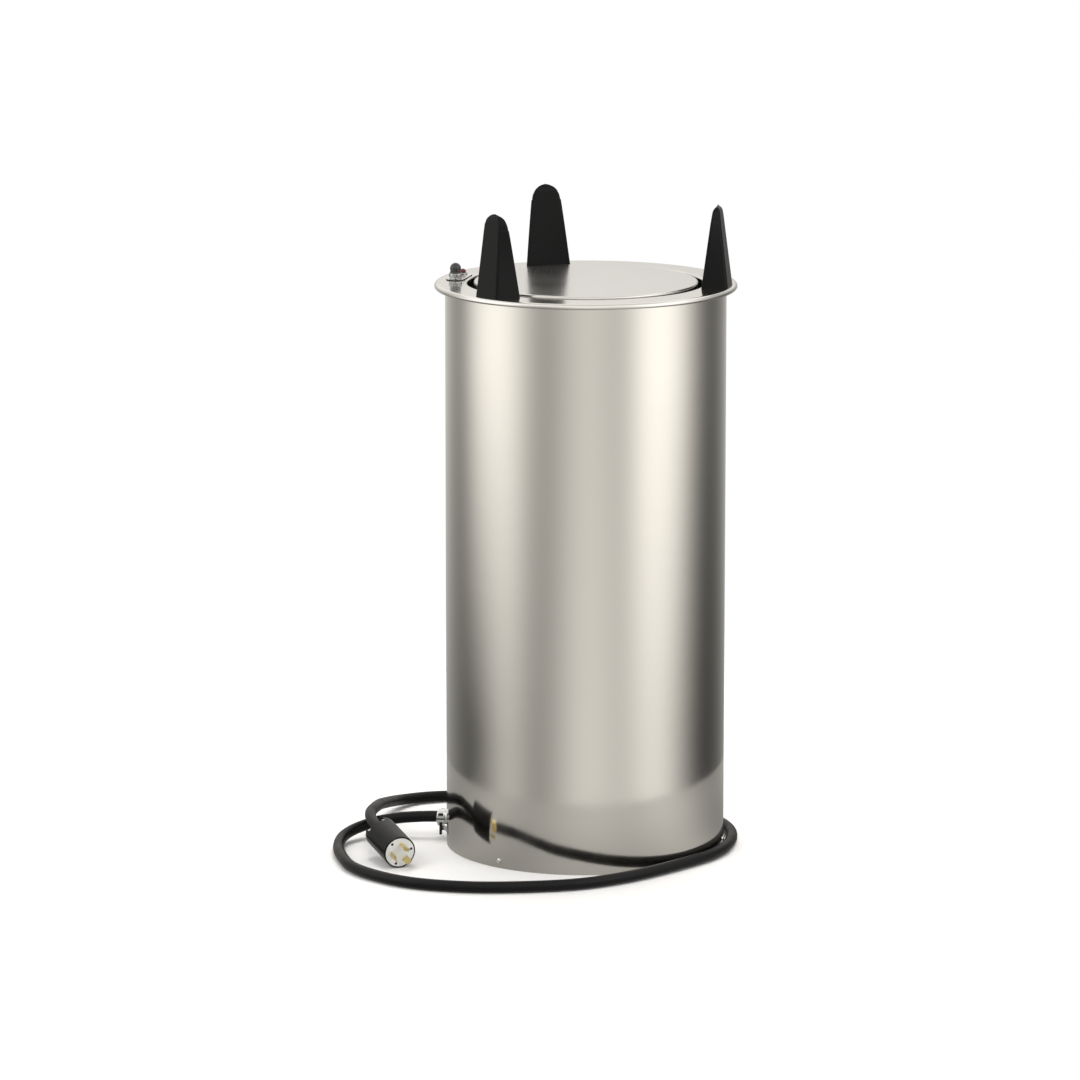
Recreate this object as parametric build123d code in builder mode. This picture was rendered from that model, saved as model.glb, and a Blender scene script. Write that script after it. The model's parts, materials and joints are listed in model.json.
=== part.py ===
from build123d import *
from math import cos, pi, radians, sin, sqrt, tan
import os

os.makedirs("parts", exist_ok=True)

# A drop-in heated plate dispenser. Millimetres, +Z up, origin on the floor under the middle of the body.
# Azimuths are in degrees, anticlockwise from +X seen from above. The front of the body faces -Y.

# Casing
body_radius = 165.1
body_height = 673.0
shroud_wall = 1.0
flange_overhang = 12.7
flange_sheet = 1.5
lip_depth = 6.5
lip_corner = 5.5
annulus = 26.1
collar_depth = 12.0
collar_corner = 2.5
liner_wall = 0.8
liner_bottom = 30.0
pan_sheet = 1.2
pan_lift = 2.0
pan_rim = 10.5
vent_radius = 6.0
vent_circle = 60.0
vent_count = 6
seat_gap = 0.3
fit_gap = 0.05
cut_spare = 5.0

# Screws round the bottom of the body
base_screw_azimuths = (111.9, 231.9, 351.9)
base_screw_rise = 6.2
base_screw_radius = 2.0
base_screw_length = 9.0
base_head_radius = 3.1
base_head_height = 2.0
base_head_round = 1.2

# Guide posts, one over each lifting station
station_azimuths = (107.6, 227.6, 347.6)
post_height = 96.0
post_inset = 3.5
post_depth = 29.5
post_inner_width = 55.2
post_outer_width = 28.4
post_top_depth = 6.4
post_top_lean = 11.3
post_top_inner_width = 34.8
post_top_outer_width = 17.4
post_round = 19.0
post_edge = 1.2
post_screw_radius = 2.5
post_screw_spacing = 22.0
post_screw_depth = 12.0
post_hole_spare = 1.0
post_head_radius = 4.6
post_head_height = 3.5

# Lifting stations: a hanger under the flange, a guide rod and two springs
station_inset = 1.8
hanger_sheet = 3.0
hanger_end = 8.0
hanger_side_gap = 3.75
rod_radius = 5.0
rod_foot_wall = 4.0
rod_foot_height = 9.0
stop_side_gap = 2.25
stop_height = 10.0
spring_wire = 2.4
spring_spacing = 46.0
eye_radius = 3.0
eye_wire = 1.2
eye_shank = 5.0
eye_clearance = 0.4

# Carrier that the plates stand on
platform_rise = 2.0
platform_gap = 7.5
platform_sheet = 1.2
platform_rim = 6.0
platform_corner = 2.4
carrier_drop = 210.0
travel = 385.0
ring_sheet = 3.0
ring_width = 26.0
ring_inset = 9.5
leg_width = 16.0
leg_depth = 6.0
arm_sheet = 5.0
arm_width = 20.0
crosshead_end = 7.0
crosshead_depth = 15.0
slot_clearance = 3.0
slot_margin = 6.0
bushing_wall = 3.5
bushing_flange_rim = 2.0
bushing_flange = 2.0
bushing_height = 14.0
bolt_radius = 2.5
bolt_head_radius = 3.9
bolt_head_height = 3.2
bolt_inset = 4.6

# Insulation between the liner and the body
blanket_bottom = 70.0
blanket_top_gap = 63.0
blanket_outer_gap = 3.1
blanket_station_gap = 16.0
groove_width = 9.0
groove_gap = 1.0

# Switch and pilot lamp on the flange
control_azimuth = 166.6
control_inset = 24.8
control_spacing = 35.6
plate_sheet = 1.2
plate_width = 22.0
switch_length = 26.0
switch_width = 14.0
switch_depth = 24.0
bushing_thread_radius = 5.9
bushing_thread_top = 4.0
bushing_bore = 3.6
nut_across_flats = 14.3
boot_ring_wall = 1.1
boot_ring_height = 4.0
boot_radius = 6.5
boot_height = 12.0
boot_skirt = 2.5
lever_radius = 1.5
lever_grip_radius = 2.0
lever_below_pivot = 7.0
lever_above_pivot = 6.5
lamp_barrel_radius = 3.95
lamp_barrel_length = 14.0
bezel_radius = 5.4
bezel_height = 2.2
bezel_seat = 0.4
bezel_round = 0.9
lens_radius = 3.6
lens_height = 6.4
terminal_width = 6.3
terminal_sheet = 0.8
terminal_length = 8.0
terminal_spacing = 15.6

# Heater and wiring in the bottom
wiring_azimuth = 190.0
element_inset = 45.8
element_tube = 4.0
element_height = 34.0
element_gap_angle = 24.0
element_pin_radius = 2.2
element_pin_length = 18.0
element_pin_turn = 2.4
clip_azimuths = (110.0, 230.0, 350.0)
clip_width = 12.0
clip_depth = 11.0
thermostat_radius = 14.0
thermostat_cap_radius = 9.8
thermostat_case_height = 9.6
thermostat_height = 16.0
thermostat_circle = 40.0
block_length = 32.0
block_depth = 18.0
block_height = 18.0
harness_radius = 2.5
harness_wall_gap = 2.9
harness_bend = 7.0
harness_upper_bend = 34.0
harness_lower_bend = 26.0
harness_side = 10.0
harness_outset = 6.0
supply_lead_radius = 4.0
supply_bend = 6.0
supply_inner_run = 24.0
supply_entry_run = 12.0
supply_entry_height = 10.0
lead_radius = 1.6
lead_bend = 3.0
lead_pin_run = 10.0
lead_entry_run = 9.0
lead_entry_side = 8.0
lead_entry_height = 12.0
thermostat_lead_bend = 20.0
thermostat_lead_run = 30.0
thermostat_lead_swing = 4.0
thermostat_lead_height = 5.0

# Strain relief on the body, and the cord
relief_azimuth = 174.0
relief_height = 25.8
relief_throat_wall = 1.45
relief_throat_length = 9.0
relief_shoulder_rim = 1.1
relief_length = 12.0
jaw_wall = 1.95
jaw_start = 2.2
jaw_split = 0.8
ear_margin = 3.2
ear_sheet = 3.0
ear_screw_gap = 2.5
ear_screw_reach = 7.0
ear_screw_radius = 1.7
ear_screw_tail = 19.5
ear_head_radius = 3.1
ear_head_height = 2.4
brace_width = 8.0
brace_sheet = 3.2
brace_drop = 16.5
brace_foot = 2.2
brace_lip = 0.4
brace_overlap = 1.0
locknut_rim = 4.6
locknut_sheet = 3.6
cord_radius = 6.75
cord_bore_gap = 0.2
jacket_end = 0.5
cord_exit_run = 40.0
plug_cord_run = 52.0
bend_share = 0.45

# Locking plug that lies in front of the cord's loop
plug_rear = (-241.4, -72.4, 28.4)
plug_direction = (0.362, -0.921, -0.141)
plug_roll = 33.8
plug_radius = 19.3
plug_length = 65.0
plug_edge = 0.8
plug_rim = 1.7
plug_channel_depth = 9.0
plug_face_sheet = 2.5
blade_count = 3
blade_circle = 10.5
blade_sheet = 1.6
blade_angle = 42.0
blade_length = 15.5
blade_roll = 73.0
blade_hook = 3.0
face_screw_inset = 3.2
face_screw_radius = 1.7
face_screw_recess = 0.8
plug_clamp_width = 12.0
plug_clamp_inset = 1.0
plug_clamp_web = 0.85
plug_clamp_screw_radius = 1.5
plug_clamp_head_radius = 2.2
plug_clamp_head_height = 1.8

# Places that follow from the sizes above
shroud_inner = body_radius - shroud_wall
flange_radius = body_radius + flange_overhang
flange_top = body_height + flange_sheet
well_radius = body_radius - annulus
collar_outer = well_radius + flange_sheet
liner_inner = collar_outer + seat_gap
liner_outer = liner_inner + liner_wall
station_room = shroud_inner - liner_outer
station_radius = liner_outer + station_room / 2 - station_inset
station_pitch = 360 / len(station_azimuths)
control_radius = flange_radius - control_inset
hanger_bottom = body_height - hanger_sheet
pan_top = pan_lift + pan_sheet
pan_radius = shroud_inner - seat_gap
base_screw_height = pan_lift + base_screw_rise
platform_top = flange_top + platform_rise
platform_radius = well_radius - platform_gap
ring_top = platform_top - platform_sheet
ring_outer = platform_radius - ring_inset
ring_inner = ring_outer - ring_width
ring_middle = (ring_outer + ring_inner) / 2
arm_top = ring_top - carrier_drop
arm_bottom = arm_top - arm_sheet
lower_ring_top = arm_top + ring_sheet
bushing_top = arm_top + bushing_flange
rod_foot_radius = rod_radius + rod_foot_wall
stop_radius = station_room / 2 - stop_side_gap
hanger_depth = station_room - 2 * hanger_side_gap
bushing_radius = rod_radius + bushing_wall
bushing_flange_radius = bushing_radius + bushing_flange_rim
hanger_width = spring_spacing + 2 * hanger_end
crosshead_width = spring_spacing + 2 * crosshead_end
eye_height = eye_shank + eye_radius
spring_bore = eye_radius + eye_wire + eye_clearance
spring_radius = spring_bore + spring_wire
spring_top = hanger_bottom - eye_height
spring_bottom = arm_top + eye_height
boot_ring_radius = boot_radius + seat_gap + boot_ring_wall
boot_pivot = flange_top + bushing_thread_top + boot_ring_height
element_radius = liner_inner - element_inset
harness_circle = liner_outer + harness_wall_gap + harness_radius
block_circle = harness_circle - harness_outset
cord_bore = cord_radius + cord_bore_gap
relief_throat_radius = cord_bore + relief_throat_wall
relief_shoulder_radius = relief_throat_radius + relief_shoulder_rim
jaw_radius = cord_bore + jaw_wall
ear_screw_offset = jaw_radius + ear_screw_gap
ear_reach = ear_screw_offset + ear_margin
locknut_radius = relief_throat_radius + locknut_rim
plug_face_radius = plug_radius - plug_rim
face_screw_circle = plug_face_radius - face_screw_inset
plug_clamp_screw_offset = cord_bore + plug_clamp_screw_radius + plug_clamp_web
plug_channel_width = 2 * (plug_clamp_screw_offset + plug_clamp_head_radius + seat_gap)


def polar(radius, azimuth, height=0.0):
    """Point at a radius, an azimuth and a height about the axis of the body."""
    return Vector(radius * cos(radians(azimuth)), radius * sin(radians(azimuth)), height)


def level_plane(azimuth, height):
    """Level plane on the axis of the body, with x pointing outwards along an azimuth."""
    return Plane(origin=(0, 0, height), x_dir=polar(1, azimuth), z_dir=(0, 0, 1))


def wall_plane(azimuth, radius, height):
    """Upright plane that faces outwards, with x running anticlockwise and y up."""
    return Plane(origin=polar(radius, azimuth, height), x_dir=polar(1, azimuth + 90), z_dir=polar(1, azimuth))


def nearest_corner(sketch, x, y):
    """Corner of a profile that lies nearest to a point of its plane."""
    return sketch.vertices().sort_by_distance((x, y, 0))[0]


def bent_path(points, radius):
    """Path of straight runs through a list of points, with one radius at each bend."""
    with BuildLine() as path:
        FilletPolyline(*points, radius=radius)
    return path.wires()[0]


def first_plane(path):
    """Plane across the start of a path."""
    return Plane(origin=path @ 0, z_dir=path % 0)


control_plane = level_plane(control_azimuth, flange_top)
switch_spot = (control_radius, control_spacing / 2)
lamp_spot = (control_radius, -control_spacing / 2)
post_screw_spots = ((station_radius, post_screw_spacing / 2), (station_radius, -post_screw_spacing / 2))
carrier_bolt_spots = ((ring_inner + bolt_inset, 0), (ring_outer - bolt_inset, 0))
ear_screw_spots = ((ear_screw_offset, -ear_screw_reach), (-ear_screw_offset, -ear_screw_reach))
plug_clamp_spots = ((plug_clamp_screw_offset, 0), (-plug_clamp_screw_offset, 0))
relief = wall_plane(relief_azimuth, body_radius, relief_height)

# Outer body: one tube with the hole for the strain relief and the holes for the bottom screws
with BuildPart() as body_shroud:
    with BuildSketch():
        Circle(body_radius)
        Circle(shroud_inner, mode=Mode.SUBTRACT)
    extrude(amount=body_height)
    with BuildSketch(relief.offset(-cut_spare)):
        Circle(relief_throat_radius + cord_bore_gap)
    extrude(amount=2 * cut_spare, mode=Mode.SUBTRACT)
    for azimuth in base_screw_azimuths:
        with BuildSketch(wall_plane(azimuth, body_radius - cut_spare, base_screw_height)):
            Circle(base_screw_radius + fit_gap)
        extrude(amount=2 * cut_spare, mode=Mode.SUBTRACT)
body_shroud.part.label = "body_shroud"
export_step(body_shroud.part, "parts/body_shroud.step")

# Top flange: a spun ring with a rolled-down lip outside and a collar down into the well
with BuildPart() as top_flange:
    with BuildSketch(Plane.XZ) as flange_profile:
        with BuildLine():
            Polyline(
                (well_radius, flange_top - collar_depth),
                (well_radius, flange_top),
                (flange_radius, flange_top),
                (flange_radius, flange_top - lip_depth),
                (flange_radius - flange_sheet, flange_top - lip_depth),
                (flange_radius - flange_sheet, body_height),
                (collar_outer, body_height),
                (collar_outer, flange_top - collar_depth),
                close=True,
            )
        make_face()
        fillet(nearest_corner(flange_profile, flange_radius, flange_top), lip_corner)
        fillet(
            nearest_corner(flange_profile, flange_radius - flange_sheet, body_height),
            lip_corner - flange_sheet,
        )
        fillet(nearest_corner(flange_profile, well_radius, flange_top), collar_corner)
        fillet(
            nearest_corner(flange_profile, collar_outer, body_height),
            collar_corner - flange_sheet,
        )
    revolve(axis=Axis.Z)
    for azimuth in station_azimuths:
        with BuildSketch(level_plane(azimuth, body_height)):
            with Locations(*post_screw_spots):
                Circle(post_screw_radius + fit_gap)
        extrude(amount=flange_sheet, mode=Mode.SUBTRACT)
    with BuildSketch(control_plane):
        with Locations(switch_spot):
            Circle(bushing_thread_radius + fit_gap)
        with Locations(lamp_spot):
            Circle(lamp_barrel_radius + fit_gap)
    extrude(amount=-flange_sheet, mode=Mode.SUBTRACT)
top_flange.part.label = "top_flange"
export_step(top_flange.part, "parts/top_flange.step")

# Liner: the heated wall round the stack of plates, slotted where the carrier's arms come through
slot_bottom = arm_bottom - travel - slot_margin
slot_height = travel + arm_sheet + 2 * slot_margin
slot_width = arm_width + 2 * slot_clearance
with BuildPart() as well_liner:
    with BuildSketch(Plane.XY.offset(liner_bottom)):
        Circle(liner_outer)
        Circle(liner_inner, mode=Mode.SUBTRACT)
    extrude(amount=body_height - collar_corner - liner_bottom)
    for azimuth in station_azimuths:
        with BuildSketch(wall_plane(azimuth, liner_inner - cut_spare, slot_bottom + slot_height / 2)):
            SlotOverall(slot_height, slot_width, rotation=90)
        extrude(amount=2 * cut_spare, mode=Mode.SUBTRACT)
well_liner.part.label = "well_liner"
export_step(well_liner.part, "parts/well_liner.step")

# Base pan: the bottom of the body, with a rim turned up inside the shroud and a ring of vents
with BuildPart() as base_pan:
    with BuildSketch(Plane.XZ) as pan_profile:
        with BuildLine():
            Polyline(
                (0, pan_lift),
                (pan_radius, pan_lift),
                (pan_radius, pan_lift + pan_rim),
                (pan_radius - pan_sheet, pan_lift + pan_rim),
                (pan_radius - pan_sheet, pan_top),
                (0, pan_top),
                close=True,
            )
        make_face()
        fillet(nearest_corner(pan_profile, pan_radius, pan_lift), 2 * pan_sheet)
        fillet(nearest_corner(pan_profile, pan_radius - pan_sheet, pan_top), pan_sheet)
    revolve(axis=Axis.Z)
    with BuildSketch(Plane.XY.offset(pan_lift)):
        with PolarLocations(vent_circle, vent_count):
            Circle(vent_radius)
    extrude(amount=pan_sheet, mode=Mode.SUBTRACT)
    for azimuth in base_screw_azimuths:
        with BuildSketch(wall_plane(azimuth, pan_radius - cut_spare, base_screw_height)):
            Circle(base_screw_radius + fit_gap)
        extrude(amount=2 * cut_spare, mode=Mode.SUBTRACT)
base_pan.part.label = "base_pan"
export_step(base_pan.part, "parts/base_pan.step")

with BuildPart() as base_screws:
    for azimuth in base_screw_azimuths:
        head_plane = wall_plane(azimuth, body_radius + fit_gap, base_screw_height)
        with BuildSketch(head_plane):
            Circle(base_head_radius)
        extrude(amount=base_head_height)
        head_end = base_screws.faces().sort_by(Axis(head_plane.origin, head_plane.z_dir))[-1]
        fillet(head_end.edges(), base_head_round)
        with BuildSketch(head_plane):
            Circle(base_screw_radius)
        extrude(amount=-base_screw_length)
base_screws.part.label = "base_screws"
export_step(base_screws.part, "parts/base_screws.step")

# Insulation blankets between the stations, with a groove in one for the wires to the switch
for number, azimuth in enumerate(station_azimuths, 1):
    blanket_sweep = station_pitch - 2 * blanket_station_gap
    groove_inner = control_radius - harness_radius - groove_gap
    with BuildPart() as blanket:
        with BuildSketch(Plane(
            origin=(0, 0, 0),
            x_dir=polar(1, azimuth + blanket_station_gap),
            z_dir=polar(1, azimuth + blanket_station_gap - 90),
        )):
            with Locations((
                (liner_outer + seat_gap + shroud_inner - blanket_outer_gap) / 2,
                (blanket_bottom + body_height - blanket_top_gap) / 2,
            )):
                Rectangle(
                    shroud_inner - blanket_outer_gap - liner_outer - seat_gap,
                    body_height - blanket_top_gap - blanket_bottom,
                )
        revolve(axis=Axis.Z, revolution_arc=blanket_sweep)
        if number == 1:
            with BuildSketch(control_plane.offset(blanket_bottom - flange_top)):
                with Locations(((groove_inner + body_radius) / 2, control_spacing / 2)):
                    Rectangle(body_radius - groove_inner, groove_width)
            extrude(amount=body_height, mode=Mode.SUBTRACT)
    blanket.part.label = f"insulation_{number}"
    export_step(blanket.part, f"parts/insulation_{number}.step")

# Guide posts: a tapering block, wide towards the plates, with a full-round top
for number, azimuth in enumerate(station_azimuths, 1):
    post_inner = well_radius + post_inset
    post_outer = post_inner + post_depth
    top_inner = post_inner + post_top_lean
    top_outer = top_inner + post_top_depth
    with BuildPart() as post:
        with BuildSketch(level_plane(azimuth, flange_top)):
            with BuildLine():
                Polyline(
                    (post_inner, post_inner_width / 2),
                    (post_outer, post_outer_width / 2),
                    (post_outer, -post_outer_width / 2),
                    (post_inner, -post_inner_width / 2),
                    close=True,
                )
            make_face()
        with BuildSketch(level_plane(azimuth, flange_top + post_height)):
            with BuildLine():
                Polyline(
                    (top_inner, post_top_inner_width / 2),
                    (top_outer, post_top_outer_width / 2),
                    (top_outer, -post_top_outer_width / 2),
                    (top_inner, -post_top_inner_width / 2),
                    close=True,
                )
            make_face()
        loft(ruled=True)
        fillet(
            post.edges().filter_by(
                lambda edge: abs(edge.bounding_box().size.Z - post_height) < 1
            ),
            post_edge,
        )
        with BuildSketch(wall_plane(azimuth, post_inner - cut_spare, flange_top)):
            with Locations((0, (post_height - post_round) / 2)):
                Rectangle(post_inner_width + 2 * cut_spare, post_height - post_round)
            with Locations((0, post_height - post_round)):
                Circle(post_round)
        extrude(amount=post_depth + 2 * cut_spare, mode=Mode.INTERSECT)
        with BuildSketch(level_plane(azimuth, flange_top)):
            with Locations(*post_screw_spots):
                Circle(post_screw_radius + fit_gap)
        extrude(amount=post_screw_depth + post_hole_spare, mode=Mode.SUBTRACT)
    post.part.label = f"guide_post_{number}"
    export_step(post.part, f"parts/guide_post_{number}.step")

with BuildPart() as post_screws:
    for azimuth in station_azimuths:
        with BuildSketch(level_plane(azimuth, hanger_bottom - post_head_height)):
            with Locations(*post_screw_spots):
                Circle(post_head_radius)
        extrude(amount=post_head_height)
        with BuildSketch(level_plane(azimuth, hanger_bottom)):
            with Locations(*post_screw_spots):
                Circle(post_screw_radius)
        extrude(amount=hanger_sheet + flange_sheet + post_screw_depth)
post_screws.part.label = "post_screws"
export_step(post_screws.part, "parts/post_screws.step")


def eye_bolts(azimuth, seat, upwards):
    """Two eye bolts beside a guide rod, standing on a level seat or hanging from it."""
    sign = 1 if upwards else -1
    with BuildPart() as eyes:
        for side in (1, -1):
            spot = (station_radius, side * spring_spacing / 2)
            with BuildSketch(level_plane(azimuth, seat)):
                with Locations(spot):
                    Circle(eye_wire)
            extrude(amount=sign * eye_shank)
            centre = level_plane(azimuth, seat).from_local_coords(Vector(*spot, sign * eye_height))
            with Locations(Plane(origin=centre, x_dir=polar(1, azimuth), z_dir=polar(1, azimuth + 90))):
                Torus(eye_radius, eye_wire)
    return eyes.part


# Lifting stations: hanger plate, guide rod, its foot, stop collar, and two springs on their eyes
for number, azimuth in enumerate(station_azimuths, 1):
    with BuildPart() as hanger:
        with BuildSketch(level_plane(azimuth, hanger_bottom)):
            with Locations((station_radius, 0)):
                Rectangle(hanger_depth, hanger_width)
                Circle(rod_radius + fit_gap, mode=Mode.SUBTRACT)
            with Locations(*post_screw_spots):
                Circle(post_screw_radius + fit_gap, mode=Mode.SUBTRACT)
        extrude(amount=hanger_sheet)
        add(eye_bolts(azimuth, hanger_bottom, upwards=False))
    hanger.part.label = f"spring_hanger_{number}"
    export_step(hanger.part, f"parts/spring_hanger_{number}.step")

    with BuildPart() as guide_rod:
        with BuildSketch(level_plane(azimuth, pan_top)):
            with Locations((station_radius, 0)):
                Circle(rod_radius)
        extrude(amount=body_height - pan_top)
    guide_rod.part.label = f"guide_rod_{number}"
    export_step(guide_rod.part, f"parts/guide_rod_{number}.step")

    with BuildPart() as springs:
        with BuildSketch(level_plane(azimuth, spring_bottom)):
            with Locations((station_radius, spring_spacing / 2), (station_radius, -spring_spacing / 2)):
                Circle(spring_radius)
                Circle(spring_bore, mode=Mode.SUBTRACT)
        extrude(amount=spring_top - spring_bottom)
    springs.part.label = f"lifting_springs_{number}"
    export_step(springs.part, f"parts/lifting_springs_{number}.step")

with BuildPart() as rod_feet:
    for azimuth in station_azimuths:
        with BuildSketch(level_plane(azimuth, pan_top)):
            with Locations((station_radius, 0)):
                Circle(rod_foot_radius)
                Circle(rod_radius + fit_gap, mode=Mode.SUBTRACT)
        extrude(amount=rod_foot_height)
rod_feet.part.label = "rod_feet"
export_step(rod_feet.part, "parts/rod_feet.step")

with BuildPart() as stop_collars:
    for azimuth in station_azimuths:
        with BuildSketch(level_plane(azimuth, bushing_top + seat_gap)):
            with Locations((station_radius, 0)):
                Circle(stop_radius)
                Circle(rod_radius + fit_gap, mode=Mode.SUBTRACT)
        extrude(amount=stop_height)
stop_collars.part.label = "stop_collars"
export_step(stop_collars.part, "parts/stop_collars.step")

# Carrier: the platform, the frame below it, and an arm out to each station
with BuildPart() as platform:
    with BuildSketch(Plane.XZ) as platform_profile:
        with BuildLine():
            Polyline(
                (0, platform_top),
                (platform_radius, platform_top),
                (platform_radius, platform_top - platform_rim),
                (platform_radius - platform_sheet, platform_top - platform_rim),
                (platform_radius - platform_sheet, ring_top),
                (0, ring_top),
                close=True,
            )
        make_face()
        fillet(nearest_corner(platform_profile, platform_radius, platform_top), platform_corner)
        fillet(
            nearest_corner(platform_profile, platform_radius - platform_sheet, ring_top),
            platform_corner - platform_sheet,
        )
    revolve(axis=Axis.Z)
platform.part.label = "platform"
export_step(platform.part, "parts/platform.step")

with BuildPart() as carrier_frame:
    for height in (ring_top - ring_sheet, arm_top):
        with BuildSketch(Plane.XY.offset(height)):
            Circle(ring_outer)
            Circle(ring_inner, mode=Mode.SUBTRACT)
        extrude(amount=ring_sheet)
    for azimuth in station_azimuths:
        with BuildSketch(level_plane(azimuth, arm_top)):
            with Locations((ring_middle, 0)):
                Rectangle(leg_depth, leg_width)
        extrude(amount=ring_top - arm_top)
        with BuildSketch(level_plane(azimuth, arm_top)):
            with Locations(*carrier_bolt_spots):
                Circle(bolt_radius + fit_gap)
        extrude(amount=ring_sheet, mode=Mode.SUBTRACT)
carrier_frame.part.label = "carrier_frame"
export_step(carrier_frame.part, "parts/carrier_frame.step")

for number, azimuth in enumerate(station_azimuths, 1):
    with BuildPart() as arm:
        with BuildSketch(level_plane(azimuth, arm_bottom)):
            with Locations(((ring_inner + station_radius) / 2, 0)):
                Rectangle(station_radius - ring_inner, arm_width)
            with Locations((station_radius, 0)):
                Rectangle(crosshead_depth, crosshead_width)
                Circle(bushing_radius + fit_gap, mode=Mode.SUBTRACT)
            with Locations(*carrier_bolt_spots):
                Circle(bolt_radius + fit_gap, mode=Mode.SUBTRACT)
        extrude(amount=arm_sheet)
        add(eye_bolts(azimuth, arm_top, upwards=True))
    arm.part.label = f"carrier_arm_{number}"
    export_step(arm.part, f"parts/carrier_arm_{number}.step")

    with BuildPart() as bushing:
        with BuildSketch(level_plane(azimuth, bushing_top - bushing_height)):
            with Locations((station_radius, 0)):
                Circle(bushing_radius)
                Circle(rod_radius + fit_gap, mode=Mode.SUBTRACT)
        extrude(amount=bushing_height)
        with BuildSketch(level_plane(azimuth, arm_top)):
            with Locations((station_radius, 0)):
                Circle(bushing_flange_radius)
                Circle(rod_radius + fit_gap, mode=Mode.SUBTRACT)
        extrude(amount=bushing_flange)
    bushing.part.label = f"arm_bushing_{number}"
    export_step(bushing.part, f"parts/arm_bushing_{number}.step")

with BuildPart() as carrier_bolts:
    for azimuth in station_azimuths:
        for low, high, radius in (
            (arm_bottom - bolt_head_height, arm_bottom, bolt_head_radius),
            (arm_bottom, lower_ring_top, bolt_radius),
            (lower_ring_top, lower_ring_top + bolt_head_height, bolt_head_radius),
        ):
            with BuildSketch(level_plane(azimuth, low)):
                with Locations(*carrier_bolt_spots):
                    Circle(radius)
            extrude(amount=high - low)
carrier_bolts.part.label = "carrier_bolts"
export_step(carrier_bolts.part, "parts/carrier_bolts.step")

# Controls on the flange: plate, switch with its nut, ring and booted lever, and pilot lamp
with BuildPart() as switch_plate:
    with BuildSketch(control_plane):
        with Locations((control_radius, 0)):
            SlotOverall(control_spacing + plate_width, plate_width, rotation=90)
        with Locations(switch_spot):
            Circle(bushing_thread_radius + fit_gap, mode=Mode.SUBTRACT)
        with Locations(lamp_spot):
            Circle(lamp_barrel_radius + fit_gap, mode=Mode.SUBTRACT)
    extrude(amount=plate_sheet)
switch_plate.part.label = "switch_plate"
export_step(switch_plate.part, "parts/switch_plate.step")

with BuildPart() as switch_body:
    with BuildSketch(control_plane.offset(-flange_sheet)):
        with Locations(switch_spot):
            Rectangle(switch_width, switch_length)
    extrude(amount=-switch_depth)
    with BuildSketch(control_plane.offset(-flange_sheet)):
        with Locations(switch_spot):
            Circle(bushing_thread_radius)
    extrude(amount=flange_sheet + bushing_thread_top)
    with BuildSketch(control_plane.offset(bushing_thread_top)):
        with Locations(switch_spot):
            Circle(bushing_bore)
    extrude(amount=-boot_ring_height - lever_below_pivot, mode=Mode.SUBTRACT)
    with BuildSketch(control_plane.offset(-flange_sheet - switch_depth)):
        with Locations(switch_spot):
            with GridLocations(terminal_width, terminal_spacing, 1, 2):
                Rectangle(terminal_width, terminal_sheet)
    extrude(amount=-terminal_length)
switch_body.part.label = "switch_body"
export_step(switch_body.part, "parts/switch_body.step")

with BuildPart() as switch_nut:
    with BuildSketch(control_plane.offset(plate_sheet)):
        with Locations(switch_spot):
            RegularPolygon(nut_across_flats / 2, 6, major_radius=False)
            Circle(bushing_thread_radius + fit_gap, mode=Mode.SUBTRACT)
    extrude(amount=bushing_thread_top - plate_sheet)
switch_nut.part.label = "switch_nut"
export_step(switch_nut.part, "parts/switch_nut.step")

with BuildPart() as boot_ring:
    with BuildSketch(control_plane.offset(bushing_thread_top)):
        with Locations(switch_spot):
            Circle(boot_ring_radius)
            Circle(boot_radius + seat_gap, mode=Mode.SUBTRACT)
    extrude(amount=boot_ring_height)
boot_ring.part.label = "boot_ring"
export_step(boot_ring.part, "parts/boot_ring.step")

switch_point = control_plane.from_local_coords(Vector(*switch_spot, 0))
switch_axis = Plane(
    origin=(switch_point.X, switch_point.Y, boot_pivot),
    x_dir=polar(1, control_azimuth),
    z_dir=polar(1, control_azimuth - 90),
)
skirt_radius = sqrt(boot_radius**2 - boot_skirt**2)
with BuildPart() as switch_boot:
    with BuildSketch(switch_axis):
        with BuildLine():
            Line((lever_grip_radius + fit_gap, -boot_skirt), (skirt_radius, -boot_skirt))
            ThreePointArc(
                (skirt_radius, -boot_skirt),
                (sqrt(boot_radius**2 - boot_skirt**2 / 4), -boot_skirt / 2),
                (boot_radius, 0),
            )
            Line((boot_radius, 0), (boot_radius, boot_height - boot_radius))
            ThreePointArc(
                (boot_radius, boot_height - boot_radius),
                (boot_radius * cos(radians(45)), boot_height - boot_radius * (1 - sin(radians(45)))),
                (0, boot_height),
            )
            Polyline(
                (0, boot_height),
                (0, lever_above_pivot),
                (lever_grip_radius + fit_gap, lever_above_pivot),
                (lever_grip_radius + fit_gap, -boot_skirt),
            )
        make_face()
    revolve(axis=Axis(switch_axis.origin, (0, 0, 1)))
switch_boot.part.label = "switch_boot"
export_step(switch_boot.part, "parts/switch_boot.step")

with BuildPart() as switch_lever:
    with BuildSketch(Plane(origin=switch_axis.origin, x_dir=polar(1, control_azimuth), z_dir=(0, 0, 1))):
        Circle(lever_grip_radius)
    extrude(amount=lever_above_pivot)
    with BuildSketch(Plane(origin=switch_axis.origin, x_dir=polar(1, control_azimuth), z_dir=(0, 0, 1))):
        Circle(lever_radius)
    extrude(amount=-lever_below_pivot)
switch_lever.part.label = "switch_lever"
export_step(switch_lever.part, "parts/switch_lever.step")

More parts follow.
